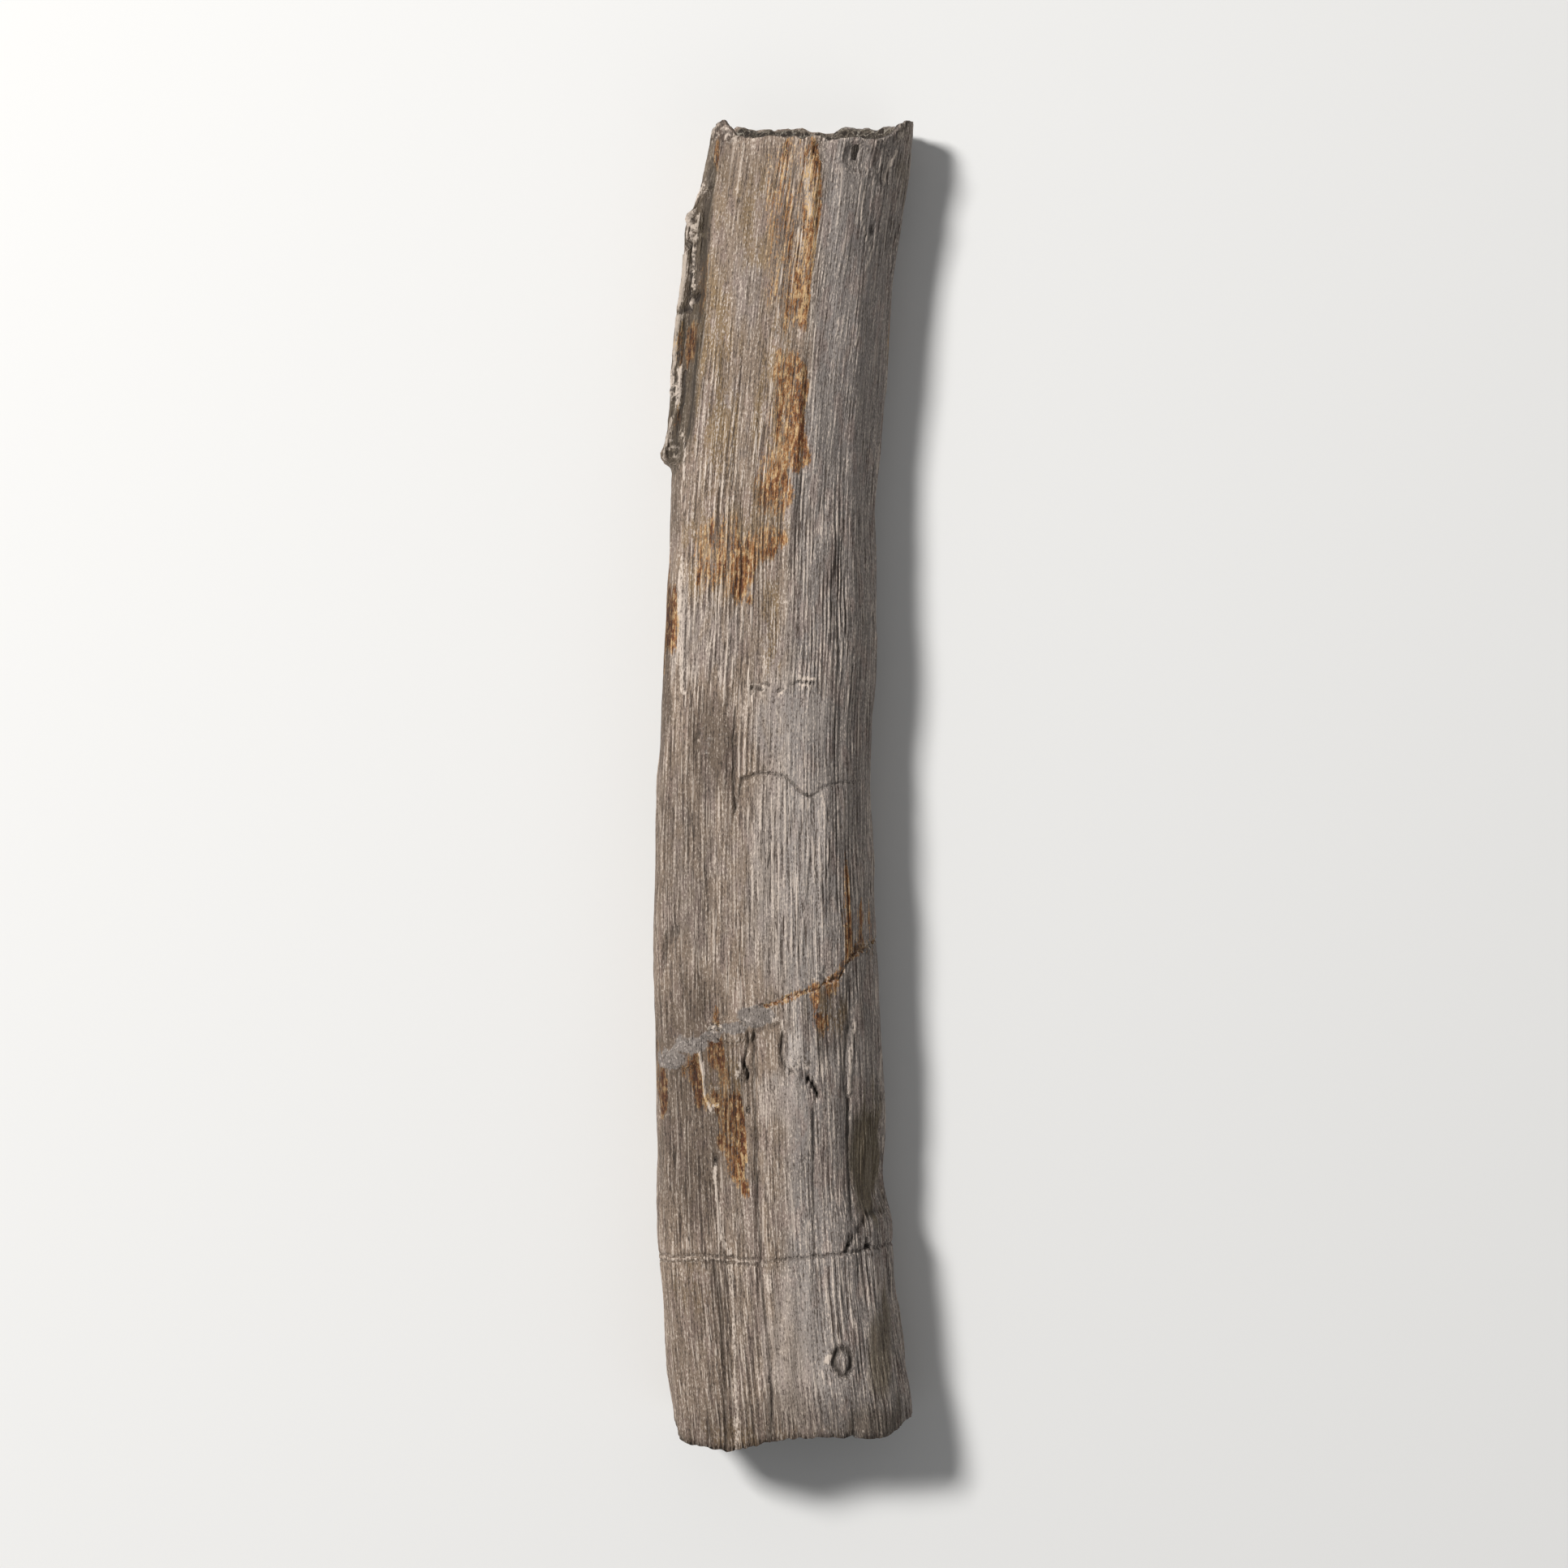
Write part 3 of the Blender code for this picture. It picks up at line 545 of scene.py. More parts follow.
def row_heights(across, front):
    """The y of every grid point: rows follow the rims and crowd along the seams."""
    low = jagged(BOTTOM_RIM, across, front, 21)
    rim = jagged(TOP_RIM, across, front, 31)
    rows = []
    for line, pitch, offsets in ROW_STOPS:
        seam = round_line(line, across, front)
        rows += stretch(low, seam + offsets[0], pitch)
        rows += [seam + offset for offset in offsets[:-1]]
        low = seam + offsets[-1]
    return np.array([*rows, *stretch(low, rim, LEDGE_ROW_PITCH), rim])


def stretch(low, high, pitch):
    """Even rows from one line up to the next, which is left out."""
    count = round(float(np.mean(high - low)) / pitch)
    return [low + (high - low) * k / count for k in range(count)]


def shaft_point(across, up, y):
    """The plain shaft: where a section point lies at a given y."""
    left = curve(LEFT_EDGE, y)
    right = curve(RIGHT_EDGE, y)
    x = (left + right) / 2 + across * (right - left) / 2
    x = x + curve(LEFT_JUT, y) * step(across, -0.82, -0.97)
    lift = ARCH_RISE * (1 + np.cos(np.pi * y / REST_CENTRE)) / 2 - REST_SINK
    return x, up * curve(THICKNESS, y) + lift


def centre_line(y):
    """The x of the shaft's middle."""
    return curve(CENTRE_LINE, y)


def gentle_waves(x, y):
    """Low lengthwise swells, so that no face is quite even."""
    return (
        0.05 * np.sin(1.9 * x + 0.05 * y)
        + 0.04 * np.sin(3.3 * x - 0.09 * y + 1.3)
        + 0.09 * np.sin(0.21 * y + 0.7 * x)
        + 0.06 * np.sin(0.47 * y - 1.1 * x + 2.0)
    )


def front_forms(x, y):
    """Height of the front's broad grooves, scars and swellings."""
    height = gentle_waves(x, y)
    for points, half_width, rise in FRONT_LINES:
        height += rise * near(line_distance(points, x, y), 0.0, half_width)
    for centre, half, rise in FRONT_PATCHES:
        height += rise * patch(centre, half, x, y)
    return height


def back_forms(x, y):
    """Height of the back's swells and flake scars."""
    height = 1.4 * gentle_waves(x + 5.0, y + 9.0)
    for centre, half, rise in BACK_PATCHES:
        height += rise * patch(centre, half, x, y)
    return height


def spread(table, x, y):
    """The strongest of a table of (centre, half sizes, strength) patches."""
    total = np.zeros(np.shape(x))
    for centre, half, strength in table:
        total = np.maximum(total, strength * patch(centre, half, x, y))
    return total


def ledge_share(x, y):
    """1 outside the main face's broken left edge, 0 on the face itself."""
    low, high = LEDGE_ENDS
    inside = step(y, low - 0.6, low + 0.8) * step(y, high, high - 1.2)
    return inside * step(curve(LEDGE_EDGE, y) - x, -0.25, 0.3)


# What the surface stores for its material: the run of the fibres, the stains, and painted light and
# shade
MARKS = (
    "fibre", "thread", "wider", "ribbed", "rust", "brown", "cool", "dull_and_painted_shade", "light", "pale",
    "worn", "filler", "olive", "dirt_and_painted_shade", "crumbly", "spongy",
)


class Surface:
    """Heights and stains at every point, gathered feature by feature."""

    def __init__(self, x, y, z, front, across, around):
        self.x = x
        self.y = y
        self.front = front
        self.across = across
        self.around = around
        self.grain = np.stack([x - centre_line(y), y, z], axis=-1)
        sway = 0.15 * self.noise(2.5, 9.0, 5) + 0.04 * self.noise(0.6, 1.6, 8)
        self.wavy = self.grain + sway[..., None] * np.array([1.0, 0.0, 1.0])
        self.x_worn = x + 0.1 * self.noise(0.5, 0.9, 6) + 0.05 * self.noise(0.25, 0.4, 9)
        self.y_worn = y + 0.14 * self.noise(0.5, 0.9, 7) + 0.12 * self.noise(0.22, 1.5, 10)
        torn = self.noise(0.25, 5.0, 33) + 0.8 * self.noise(0.9, 2.0, 34)
        self.y_torn = y + (0.8 + 2.2 * step(z, 9.6, 7.4)) * torn
        self.facing = front * step(z + 2.4 * self.noise(1.4, 3.0, 35), 4.5, 6.5)
        self.height = np.zeros(x.shape)
        self.marks = {name: np.zeros(x.shape) for name in MARKS}

    def noise(self, width, length, seed):
        """Random values from -1 to 1 in cells that lie along the grain."""
        return noise(self.grain, (width, length, width), seed)

    def stain(self, name, share):
        """Raise a stain to at least this share."""
        self.marks[name] = np.maximum(self.marks[name], share)

    def add_forms(self):
        """Broad relief, the same as the solid's."""
        self.height += np.where(self.front, front_forms(self.x, self.y), back_forms(self.x, self.y))

    def add_fibres(self):
        """Fine lengthwise fibres, strong in places and worn smooth in others."""
        rough = spread(ROUGH, self.x, self.y) * self.front
        smooth = spread(SMOOTH, self.x_worn, self.y_worn) * self.front
        self.stain("worn", smooth)
        vary = 0.8 + 0.35 * self.noise(1.6, 5.0, 11)
        strength = (vary + rough) * (1.0 - smooth)
        strands = np.zeros(self.x.shape)
        for seed, (width, length, share) in enumerate(STRANDS):
            strand = noise(self.wavy, (width, length, width), 12 + seed)
            strands += share * np.clip(1.8 * strand, -1.0, 1.0)
        layers = noise(self.wavy, (0.7, 3.0, 0.7), 18)
        layers += 0.6 * noise(self.wavy, (0.35, 1.5, 0.35), 19)
        self.height += FIBRE_HEIGHT * strength * (strands + self.stripes(strength))
        self.height += TERRACE_HEIGHT * strength * (step(layers, 0.1, 0.2) - step(layers, -0.35, -0.45))
        self.marks["fibre"] = strength * strands

    def stripes(self, strength):
        """Even fine fibres side by side that waver, fade out and come back."""
        flat = np.stack([self.around, self.y, 0.0 * self.y], axis=-1)
        waver = 0.16 * noise(flat, (1.4, 8.0, 1), 81) + 0.05 * noise(flat, (0.5, 2.0, 1), 82)
        thread = self.around + waver
        wider = step(noise(flat, (2.2, 9.0, 1), 83), -0.25, 0.25)
        ribbed = step(noise(flat, (0.6, 3.6, 1), 84), -0.55, 0.35)
        self.marks["thread"] = thread
        self.marks["wider"] = wider
        self.marks["ribbed"] = strength * ribbed
        fine, wide = (np.sin(2.0 * np.pi * thread / pitch) for pitch in FIBRE_PITCHES)
        return 1.15 * ribbed * (fine * (1.0 - wider) + wide * wider)

    def add_cracks(self):
        """Cracks, pale ridges, pits and rings of the front."""
        x, y = self.x_worn, self.y_worn
        for table, way, name in ((CRACKS, -1.0, "dirt_and_painted_shade"), (RIDGES, 1.0, "pale")):
            for points, half_width, rise, strength in table:
                line = self.front * near(line_distance(points, x, y) / half_width, 0.3, 1.0)
                self.height += way * rise * line
                self.stain(name, strength * line)
        for centre, half, depth, dirt_and_painted_shade in PITS:
            pit = self.front * patch(centre, half, x, y)
            self.height -= depth * pit
            self.stain("dirt_and_painted_shade", dirt_and_painted_shade * pit)
        for centre, half, rise, name in RINGS:
            reach = np.hypot((x - centre[0]) / half[0], (y - centre[1]) / half[1])
            ring = self.front * step(np.abs(reach - 0.8), 0.35, 0.1)
            self.height += rise * ring
            self.stain(name, min(0.9, 2.2 * abs(rise)) * ring)

    def add_seams(self):
        """The glued break and the horizontal crack, right round the shaft."""
        across, front = self.across, self.front
        ragged = 0.22 * self.noise(0.8, 3.0, 31) + 0.12 * self.noise(0.35, 3.0, 32)
        off = self.y_worn + ragged - round_line(BREAK, across, front)
        filled = step(across, 0.08, -0.12) * front
        groove = near(off, 0.04, 0.26)
        self.height -= BREAK_DEPTH * groove * (1.0 - filled)
        self.stain("crumbly", 0.5 * front * near(off, 0.1, 0.4) * (1.0 - filled))
        self.stain("rust", 1.1 * groove * (1.0 - filled))
        self.stain("rust", 0.5 * near(off, 0.2, 0.9) * (1.0 - front))
        off = self.y_worn - round_line(CRACK, across, front)
        double = step(across, 0.1, -0.2) * front
        pair = np.maximum(near(off - 0.3, 0.0, 0.2), near(off + 0.3, 0.0, 0.2))
        line = pair * double + near(off, 0.0, 0.28) * (1.0 - double)
        self.height -= CRACK_DEPTH * line
        self.stain("dirt_and_painted_shade", 0.42 * line)
        self.stain("pale", 0.35 * double * near(off, 0.05, 0.25))

    def add_stains(self):
        """Rust, filler and the many kinds of lighter and darker bone in front, some of it painted light
        and shade.
        """
        wander = 0.5 * self.noise(0.6, 3.5, 41) + 0.3 * self.noise(0.3, 6.0, 42)
        for rows, soft, strength in RUST_BANDS:
            self.stain("rust", strength * self.facing * band(rows, soft, self.x_worn, self.y_torn))
        for points, half_width, strength in RUST_LINES:
            reach = line_distance(points, self.x_worn, self.y) / half_width + wander
            self.stain("rust", strength * self.front * (1.0 - step(reach, 0.1, 1.3)))
        soft_x = self.x + 2.0 * wander
        for name, table, x, y, where in (
            ("brown", BROWN_TINTS, soft_x, self.y_torn, self.front),
            ("cool", COOL, soft_x, self.y_torn, self.front),
            ("dull_and_painted_shade", DULL_BONE_AND_PAINTED_SHADE, soft_x, self.y_torn, self.facing),
            ("light", PALE_BONE_AND_PAINTED_LIGHT, soft_x, self.y_torn, self.front),
            ("crumbly", CRUMBLY, self.x_worn, self.y_worn, self.facing),
            ("filler", FILLER, self.x_worn, self.y_worn, self.facing),
            ("olive", OLIVE, self.x_worn, self.y_torn, self.facing),
        ):
            self.stain(name, spread(table, x, y) * where)
        # the ledge's steep side: an olive stain, with painted shade over it
        ledge = ledge_share(self.x - 0.6, self.y_torn) * self.facing
        self.stain("olive", ledge * (0.65 + 0.35 * self.noise(0.7, 2.5, 43)))
        self.stain("dull_and_painted_shade", 0.85 * ledge)
        lip = round_line(TOP_RIM, self.across, self.front)
        self.stain("pale", 0.3 * self.front * step(self.y_worn, lip - 0.5, lip - 0.1))

    def add_crumbs(self):
        """Loose crumbly relief where the bone is rotten."""
        grit = self.noise(0.32, 0.9, 71) + 0.6 * self.noise(0.7, 1.2, 72)
        self.height += CRUMB_HEIGHT * self.marks["crumbly"] * grit
        self.stain("dirt_and_painted_shade", 0.8 * self.marks["crumbly"] * step(grit, -0.35, -0.75))
        self.stain("pale", 0.85 * self.marks["crumbly"] * step(grit, 0.05, 0.6))

    def add_back_stains(self):
        """The unseen back and sides: scattered rust and olive, as on the front."""
        back = 1.0 - self.front
        patches = self.noise(3.0, 11.0, 51)
        self.stain("rust", back * 0.7 * step(patches, 0.45, 0.7))
        self.stain("olive", back * 0.7 * step(-patches, 0.35, 0.7))
        self.stain("brown", 0.6 * step(self.noise(5.0, 16.0, 52), 0.2, 0.7) * back)


def outward(x, z):
    """Outward directions across the section, along each row of the grid."""
    dx = np.roll(x, -1, axis=1) - np.roll(x, 1, axis=1)
    dz = np.roll(z, -1, axis=1) - np.roll(z, 1, axis=1)
    size = np.hypot(dx, dz)
    return -dz / size, dx / size


def girth(place):
    """Distance round the middle of the shaft at each column, in millimetres."""
    middle = (loop_curve(SECTION_TOP, place) + loop_curve(SECTION_BOTTOM, place)) / 2.0
    half_width = (straight(RIGHT_EDGE, 0.0) - straight(LEFT_EDGE, 0.0)) / 2.0
    steps = np.diff(middle * (half_width, straight(THICKNESS, 0.0)), axis=0)
    return np.concatenate([[0.0], np.cumsum(np.hypot(*steps.T))])


def shaft_surface():
    """Grid of points over the whole side surface, with its stains."""
    place = column_places()
    top = loop_curve(SECTION_TOP, place)
    bottom = loop_curve(SECTION_BOTTOM, place)
    front = (place <= RIGHT_EDGE_POINT).astype(float)
    across = np.clip(top[:, 0], -1.0, 1.0)
    y = row_heights(across, front > 0)
    share = step(y, -55.0, 55.0)[..., None]
    section = bottom * (1 - share) + top * share
    x, z = shaft_point(section[..., 0], section[..., 1], y)
    side_x, side_z = outward(x, z)
    columns = (np.broadcast_to(value, x.shape) for value in (front, across, girth(place)))
    surface = Surface(x, y, z, *columns)
    surface.add_forms()
    surface.add_fibres()
    surface.add_seams()
    surface.add_cracks()
    surface.add_stains()
    surface.add_crumbs()
    surface.add_back_stains()
    ledge = ledge_share(x, y) * front * step(section[..., 1], 0.66, 0.84)
    x = x + side_x * surface.height
    z = np.maximum(z + side_z * surface.height - LEDGE_DROP * ledge, 0.0)
    return np.stack([x, y, z], axis=-1), surface.marks


def fitted_plane(point):
    """The plane y = a + b x + c z that lies closest to the points."""
    terms = np.column_stack([np.ones(len(point)), point[:, 0], point[:, 2]])
    return np.linalg.lstsq(terms, point[:, 1], rcond=None)[0]


def undercut(z, crumbs):
    """Where rotten bone has fallen out from under the front lip."""
    return step(z + 1.5 * crumbs, 4.6, 7.2)


def fracture_ring(rim, ring, recess, side):
    """One ring of a fracture face: the rim's shape fades into a lumpy, set-back middle."""
    a, b, c = fitted_plane(rim)
    middle = rim.mean(axis=0)
    point = middle + (rim - middle) * ring
    x, z = point[:, 0], point[:, 2]
    uneven = rim[:, 1] - (a + b * rim[:, 0] + c * rim[:, 2])
    lumps = np.sin(0.9 * x + 0.6 * z) * np.sin(0.8 * z - 0.5 * x + 0.8)
    flat = np.stack([x, 0.0 * x, z], axis=-1)
    crumbs = noise(flat, (0.9, 1, 0.9), 61) + 0.7 * noise(flat, (0.45, 1, 0.45), 62)
    inner = step(ring, 1.0, 0.7)
    depth = recess * step(ring, 0.97, 0.8) + LUMP_HEIGHT * lumps * inner
    depth = depth + crumbs * (0.12 + 0.2 * inner) * step(ring, 1.0, 0.96)
    depth = depth + UNDERCUT * undercut(z, crumbs) * step(ring, 0.95, 0.84) * step(ring, 0.2, 0.5)
    point[:, 1] = a + b * x + c * z + uneven * step(ring, 0.6, 1.0) - side * depth
    return point


def add_object(name, data):
    """A new object in the scene."""
    item = bpy.data.objects.new(name, data)
    bpy.context.scene.collection.objects.link(item)
    return item


class RibMesh:
    """Points, faces and stains of the whole rib."""

    def __init__(self):
        self.points = []
        self.faces = []
        self.marks = {}
        self.count = 0

    def add_points(self, points, marks):
        """Add points with their stains and return their numbers."""
        self.points.append(points)
        for name, value in marks.items():
            self.marks.setdefault(name, []).append(value)
        first = self.count
        self.count += len(points)
        return np.arange(first, self.count)

    def add_band(self, outer, inner, side):
        """Faces between two rings, the inner one with as many points or half as many."""
        fewer = len(outer) // len(inner)
        for k in range(len(inner)):
            far = (k + 1) % len(inner)
            if fewer == 1:
                self.add_face((outer[k], outer[far], inner[far], inner[k]), side)
                continue
            start, mid, end = outer[2 * k], outer[2 * k + 1], outer[(2 * k + 2) % len(outer)]
            self.add_face((start, mid, inner[k]), side)
            self.add_face((mid, inner[far], inner[k]), side)
            self.add_face((mid, end, inner[far]), side)

    def add_face(self, corners, side):
        """One face, turned so that it looks out of the end it is on."""
        self.faces.append(tuple(int(c) for c in (corners if side > 0 else corners[::-1])))

    def add_shaft(self, points, marks):
        """The side surface; returns the numbers of the first and the last row."""
        rows, columns = points.shape[:2]
        flat = {name: value.ravel() for name, value in marks.items()}
        numbers = self.add_points(points.reshape(-1, 3), flat).reshape(rows, columns)
        for low, high in zip(numbers, numbers[1:]):
            ahead, above = np.roll(low, -1), np.roll(high, -1)
            self.faces += list(zip(low.tolist(), ahead.tolist(), above.tolist(), high.tolist()))
        return numbers[0], numbers[-1]

    def add_cap(self, rim_numbers, rim, rim_marks, recess, side):
        """A fracture face: rings with fewer and fewer points towards the middle."""
        outer = rim_numbers
        for thin, rings in CAP_STAGES:
            for ring in rings:
                points = fracture_ring(rim, ring, recess, side)[::thin]
                marks = {name: 0.0 * points[:, 0] for name in rim_marks}
                marks["spongy"] = marks["spongy"] + step(ring, 1.0, 0.72)
                # painted shade: the set-back recess under the front lip is darkened as well
                lip_shade = 0.85 * undercut(points[:, 2], 0.0)
                marks["dirt_and_painted_shade"] = lip_shade * step(ring, 0.995, 0.96) * step(ring, 0.3, 0.6)
                inner = self.add_points(points, marks)
                self.add_band(outer, inner, side)
                outer = inner
        tip = fracture_ring(rim, 0.0, recess, side)[:1]
        marks = {name: np.zeros(1) for name in rim_marks}
        marks["spongy"] = np.ones(1)
        centre = int(self.add_points(tip, marks)[0])
        for k in range(len(outer)):
            self.add_face((outer[k], outer[(k + 1) % len(outer)], centre), side)

    def make(self, name):
        """The finished object, in metres, with its stains as point attributes."""
        points = np.concatenate(self.points)
        data = bpy.data.meshes.new(name)
        data.from_pydata((points * MM).tolist(), [], self.faces)
        for mark, parts in self.marks.items():
            layer = data.attributes.new(mark, "FLOAT", "POINT")
            layer.data.foreach_set("value", np.concatenate(parts).astype(np.float32))
        grain = points.copy()
        grain[:, 0] -= centre_line(points[:, 1])
        layer = data.attributes.new("grain", "FLOAT_VECTOR", "POINT")
        layer.data.foreach_set("vector", grain.astype(np.float32).ravel())
        data.shade_smooth()
        return add_object(name, data)


class Nodes:
    """Short ways to add the nodes of one material."""

    def __init__(self, name):
        self.material = bpy.data.materials.new(name)
        self.material.use_nodes = True
        self.tree = self.material.node_tree
        self.shader = self.tree.nodes["Principled BSDF"]

    def link(self, source, target):
        """Join a value or an output to an input."""
        if isinstance(source, bpy.types.NodeSocket):
            self.tree.links.new(source, target)
        else:
            target.default_value = source

    def add(self, kind, output, inputs, **settings):
        """A new node with its settings and inputs; returns one of its outputs."""
        node = self.tree.nodes.new("ShaderNode" + kind)
        for name, value in settings.items():
            setattr(node, name, value)
        for place, source in inputs.items():
            self.link(source, node.inputs[place])
        return node.outputs[output]

    def mark(self, name, output="Fac"):
        """A stain, or a vector, stored on the mesh."""
        return self.add("Attribute", output, {}, attribute_name=name)

    def separate_x(self, vector):
        """The first number of a vector."""
        return self.add("SeparateXYZ", "X", {"Vector": vector})

    def cells(self, vector, width, length):
        """Coordinates counted in cells of this width and length."""
        size = (width, length, width)
        return self.add("VectorMath", "Vector", {0: vector, 1: size}, operation="DIVIDE")

    def noise(self, vector, width, length, detail=3.0, rough=0.55):
        """Noise from 0 to 1 in cells of this width and length."""
        place = self.cells(vector, width, length)
        inputs = {"Vector": place, "Scale": 1.0, "Detail": detail, "Roughness": rough}
        return self.add("TexNoise", "Fac", inputs)

    def cell_walls(self, vector, size):
        """Distance from the nearest wall between random cells."""
        inputs = {"Vector": self.cells(vector, size, size), "Scale": 1.0}
        return self.add("TexVoronoi", "Distance", inputs, feature="DISTANCE_TO_EDGE")

    def math(self, operation, *values):
        """One operation on one or two values."""
        return self.add("Math", "Value", dict(enumerate(values)), operation=operation)

    def sum(self, a, b):
        """Two values added."""
        return self.math("ADD", a, b)

    def minus(self, a, b):
        """One value less another."""
        return self.math("SUBTRACT", a, b)

    def times(self, a, b):
        """Two values multiplied."""
        return self.math("MULTIPLY", a, b)

    def centred(self, value, scale):
        """Noise about zero, scaled."""
        return self.times(self.minus(value, 0.5), scale)

    def wave(self, place, pitch):
        """A sine over a place, from -1 to 1."""
        return self.math("SINE", self.times(place, 2.0 * np.pi / pitch))

    def between(self, share, a, b):
        """Two values mixed by a share."""
        return self.sum(a, self.times(share, self.minus(b, a)))

    def ramp(self, value, low, high):
        """A smooth step from 0 at low to 1 at high."""
        inputs = {"Value": value, "From Min": low, "From Max": high}
        return self.add("MapRange", "Result", inputs, interpolation_type="SMOOTHSTEP")

    def mix(self, share, a, b, blend="MIX"):
        """Two colours mixed by a share."""
        inputs = {"Factor": share, "A": a, "B": b}
        return self.add("Mix", "Result", inputs, data_type="RGBA", blend_type=blend)

    def tint(self, under, over, value, low, high, most=1.0):
        """A colour laid over another one where a value steps from low to high."""
        return self.mix(self.times(self.ramp(value, low, high), most), under, over)

    def bump(self, height, distance, strength, normal=None):
        """A bump from a height, over another bump if one is given."""
        inputs = {"Strength": strength, "Distance": distance, "Height": height}
        if normal is not None:
            inputs["Normal"] = normal
        return self.add("Bump", "Normal", inputs)


# Colours of the bone
TAN = (0.232, 0.170, 0.124, 1)
GREY = (0.218, 0.188, 0.169, 1)
COOL_GREY = (0.232, 0.204, 0.190, 1)
BROWN = (0.232, 0.152, 0.076, 1)
PINKISH = (0.262, 0.188, 0.155, 1)
# dark grooves and pale ridges, partly painted shade and painted highlight on the fibres
DARK_GROOVE_AND_SHADE = (0.066, 0.046, 0.034, 1)
PALE_RIDGE_AND_HIGHLIGHT = (0.60, 0.50, 0.415, 1)
OCHRE_RUST = (0.272, 0.114, 0.030, 1)
RED_RUST = (0.125, 0.034, 0.008, 1)
DARK_RUST = (0.045, 0.016, 0.006, 1)
RUSTY_CREAM = (0.52, 0.35, 0.175, 1)
FILLER_GREY = (0.185, 0.157, 0.137, 1)
OLIVE_STAIN = (0.135, 0.102, 0.060, 1)
OLIVE_RIDGE = (0.21, 0.17, 0.12, 1)
LIGHT_BONE = (0.40, 0.345, 0.305, 1)
# dark dirt, also used as painted shade in the recess under the front lip
DARK_DIRT_AND_SHADE = (0.028, 0.020, 0.014, 1)
# painted shade and duller bone multiply the colour by this
PAINTED_SHADE_TINT = (0.42, 0.40, 0.38, 1)
# dark spongy bone, its darkness partly painted shade
SPONGY_BONE_AND_SHADE = (0.105, 0.085, 0.062, 1)
BODY_CRUMB = (0.17, 0.135, 0.10, 1)
PALE_CRUMB = (0.33, 0.29, 0.235, 1)


def bone_material():
    """Mineralised bone: fibrous grey-tan with rust, olive, filler and pale ridges, with painted
    highlight, light and shade.
    """
    n = Nodes("fossil_bone")
    grain = n.mark("grain", "Vector")
    strands = n.noise(grain, 0.17, 4.5, 2.0, 0.6)
    grit = n.noise(grain, 0.12, 0.3, 2.0)
    blotch = n.noise(grain, 4.5, 14.0, 4.0)
    speck = n.noise(grain, 0.5, 0.8, 4.0)
    streak = n.noise(grain, 0.5, 5.0, 3.0)
    threads = n.noise(grain, 0.1, 6.0, 1.0)
    mottle = n.noise(grain, 1.3, 3.5, 3.0)
    crumb = n.noise(grain, 0.45, 0.45, 4.0, 0.6)

    # rust lies in the grooves, in broken streaks and grains, ochre with red-brown cores
    grains = n.sum(n.centred(streak, 1.8), n.sum(n.centred(grit, 2.2), n.centred(strands, 2.4)))
    grains = n.sum(grains, n.times(n.mark("fibre"), -0.25))
    grains = n.times(grains, n.ramp(n.mark("rust"), 0.0, 0.35))
    rust = n.ramp(n.sum(n.mark("rust"), grains), 0.3, 0.75)
    core = n.ramp(n.sum(n.mark("rust"), n.sum(grains, n.centred(speck, 2.4))), 0.85, 1.2)

    # body colour: tan to the left of the middle, greyer to the right, mottled
    side = n.ramp(n.sum(n.separate_x(grain), n.times(blotch, 6.0)), 3.2, 6.0)
    body = n.mix(side, TAN, GREY)
    cool = n.times(n.mark("cool"), n.ramp(mottle, 0.35, 0.6))
    body = n.mix(cool, body, COOL_GREY)
    body = n.tint(body, PINKISH, mottle, 0.5, 0.62, 0.5)
    warm = n.ramp(n.sum(mottle, n.sum(n.centred(grit, 0.8), n.centred(streak, 0.4))), 0.6, 0.42)
    body = n.mix(n.times(n.sum(n.mark("brown"), 0.05), warm), body, BROWN)
    # the light mark: paler bone, and painted light down the middle of the front
    body = n.mix(n.mark("light"), body, LIGHT_BONE)
    body = n.mix(n.mark("olive"), body, OLIVE_STAIN)
    crust = n.noise(grain, 0.32, 1.0, 5.0, 0.7)
    rusty = n.tint(n.mix(core, OCHRE_RUST, RED_RUST), RUSTY_CREAM, crust, 0.51, 0.6)
    rusty = n.tint(rusty, DARK_RUST, crust, 0.47, 0.4)
    body = n.mix(rust, body, rusty)

    # fibres: pale on the ridges and dark in the grooves, both tinted by rust; partly the bone's own
    # streaks, partly painted highlight on the raised fibres and painted shade between them
    fine, wide = (n.wave(n.mark("thread"), pitch) for pitch in FIBRE_PITCHES)
    ribs = n.times(n.mark("ribbed"), n.between(n.mark("wider"), fine, wide))
    texture = n.sum(n.times(ribs, 0.75), n.times(n.mark("fibre"), 0.5))
    sharp = n.minus(1.0, n.times(n.mark("worn"), 0.6))
    lines = n.sum(n.centred(strands, 4.4), n.centred(threads, 3.8))
    texture = n.sum(texture, n.times(lines, sharp))
    # grit adds small pale specks on the ridges: painted glints
    texture = n.sum(texture, n.centred(grit, 5.0))
    ridge = n.mix(n.mark("olive"), PALE_RIDGE_AND_HIGHLIGHT, OLIVE_RIDGE)
    ridge = n.mix(n.times(rust, 0.8), ridge, RUSTY_CREAM)
    ridge = n.mix(core, ridge, OCHRE_RUST)
    groove = n.mix(rust, DARK_GROOVE_AND_SHADE, DARK_RUST)
    colour = n.tint(body, ridge, texture, 0.35, 1.25, 0.78)
    colour = n.tint(colour, groove, texture, -0.35, -1.15, 0.85)

    # crisp hairlines along the grain, some dark and some pale
    hair = n.noise(grain, 0.21, 5.5, 2.0)
    rough = n.times(n.sum(n.mark("ribbed"), 0.3), 0.7)
    colour = n.tint(colour, groove, hair, 0.385, 0.355, rough)
    colour = n.tint(colour, ridge, hair, 0.625, 0.655, rough)

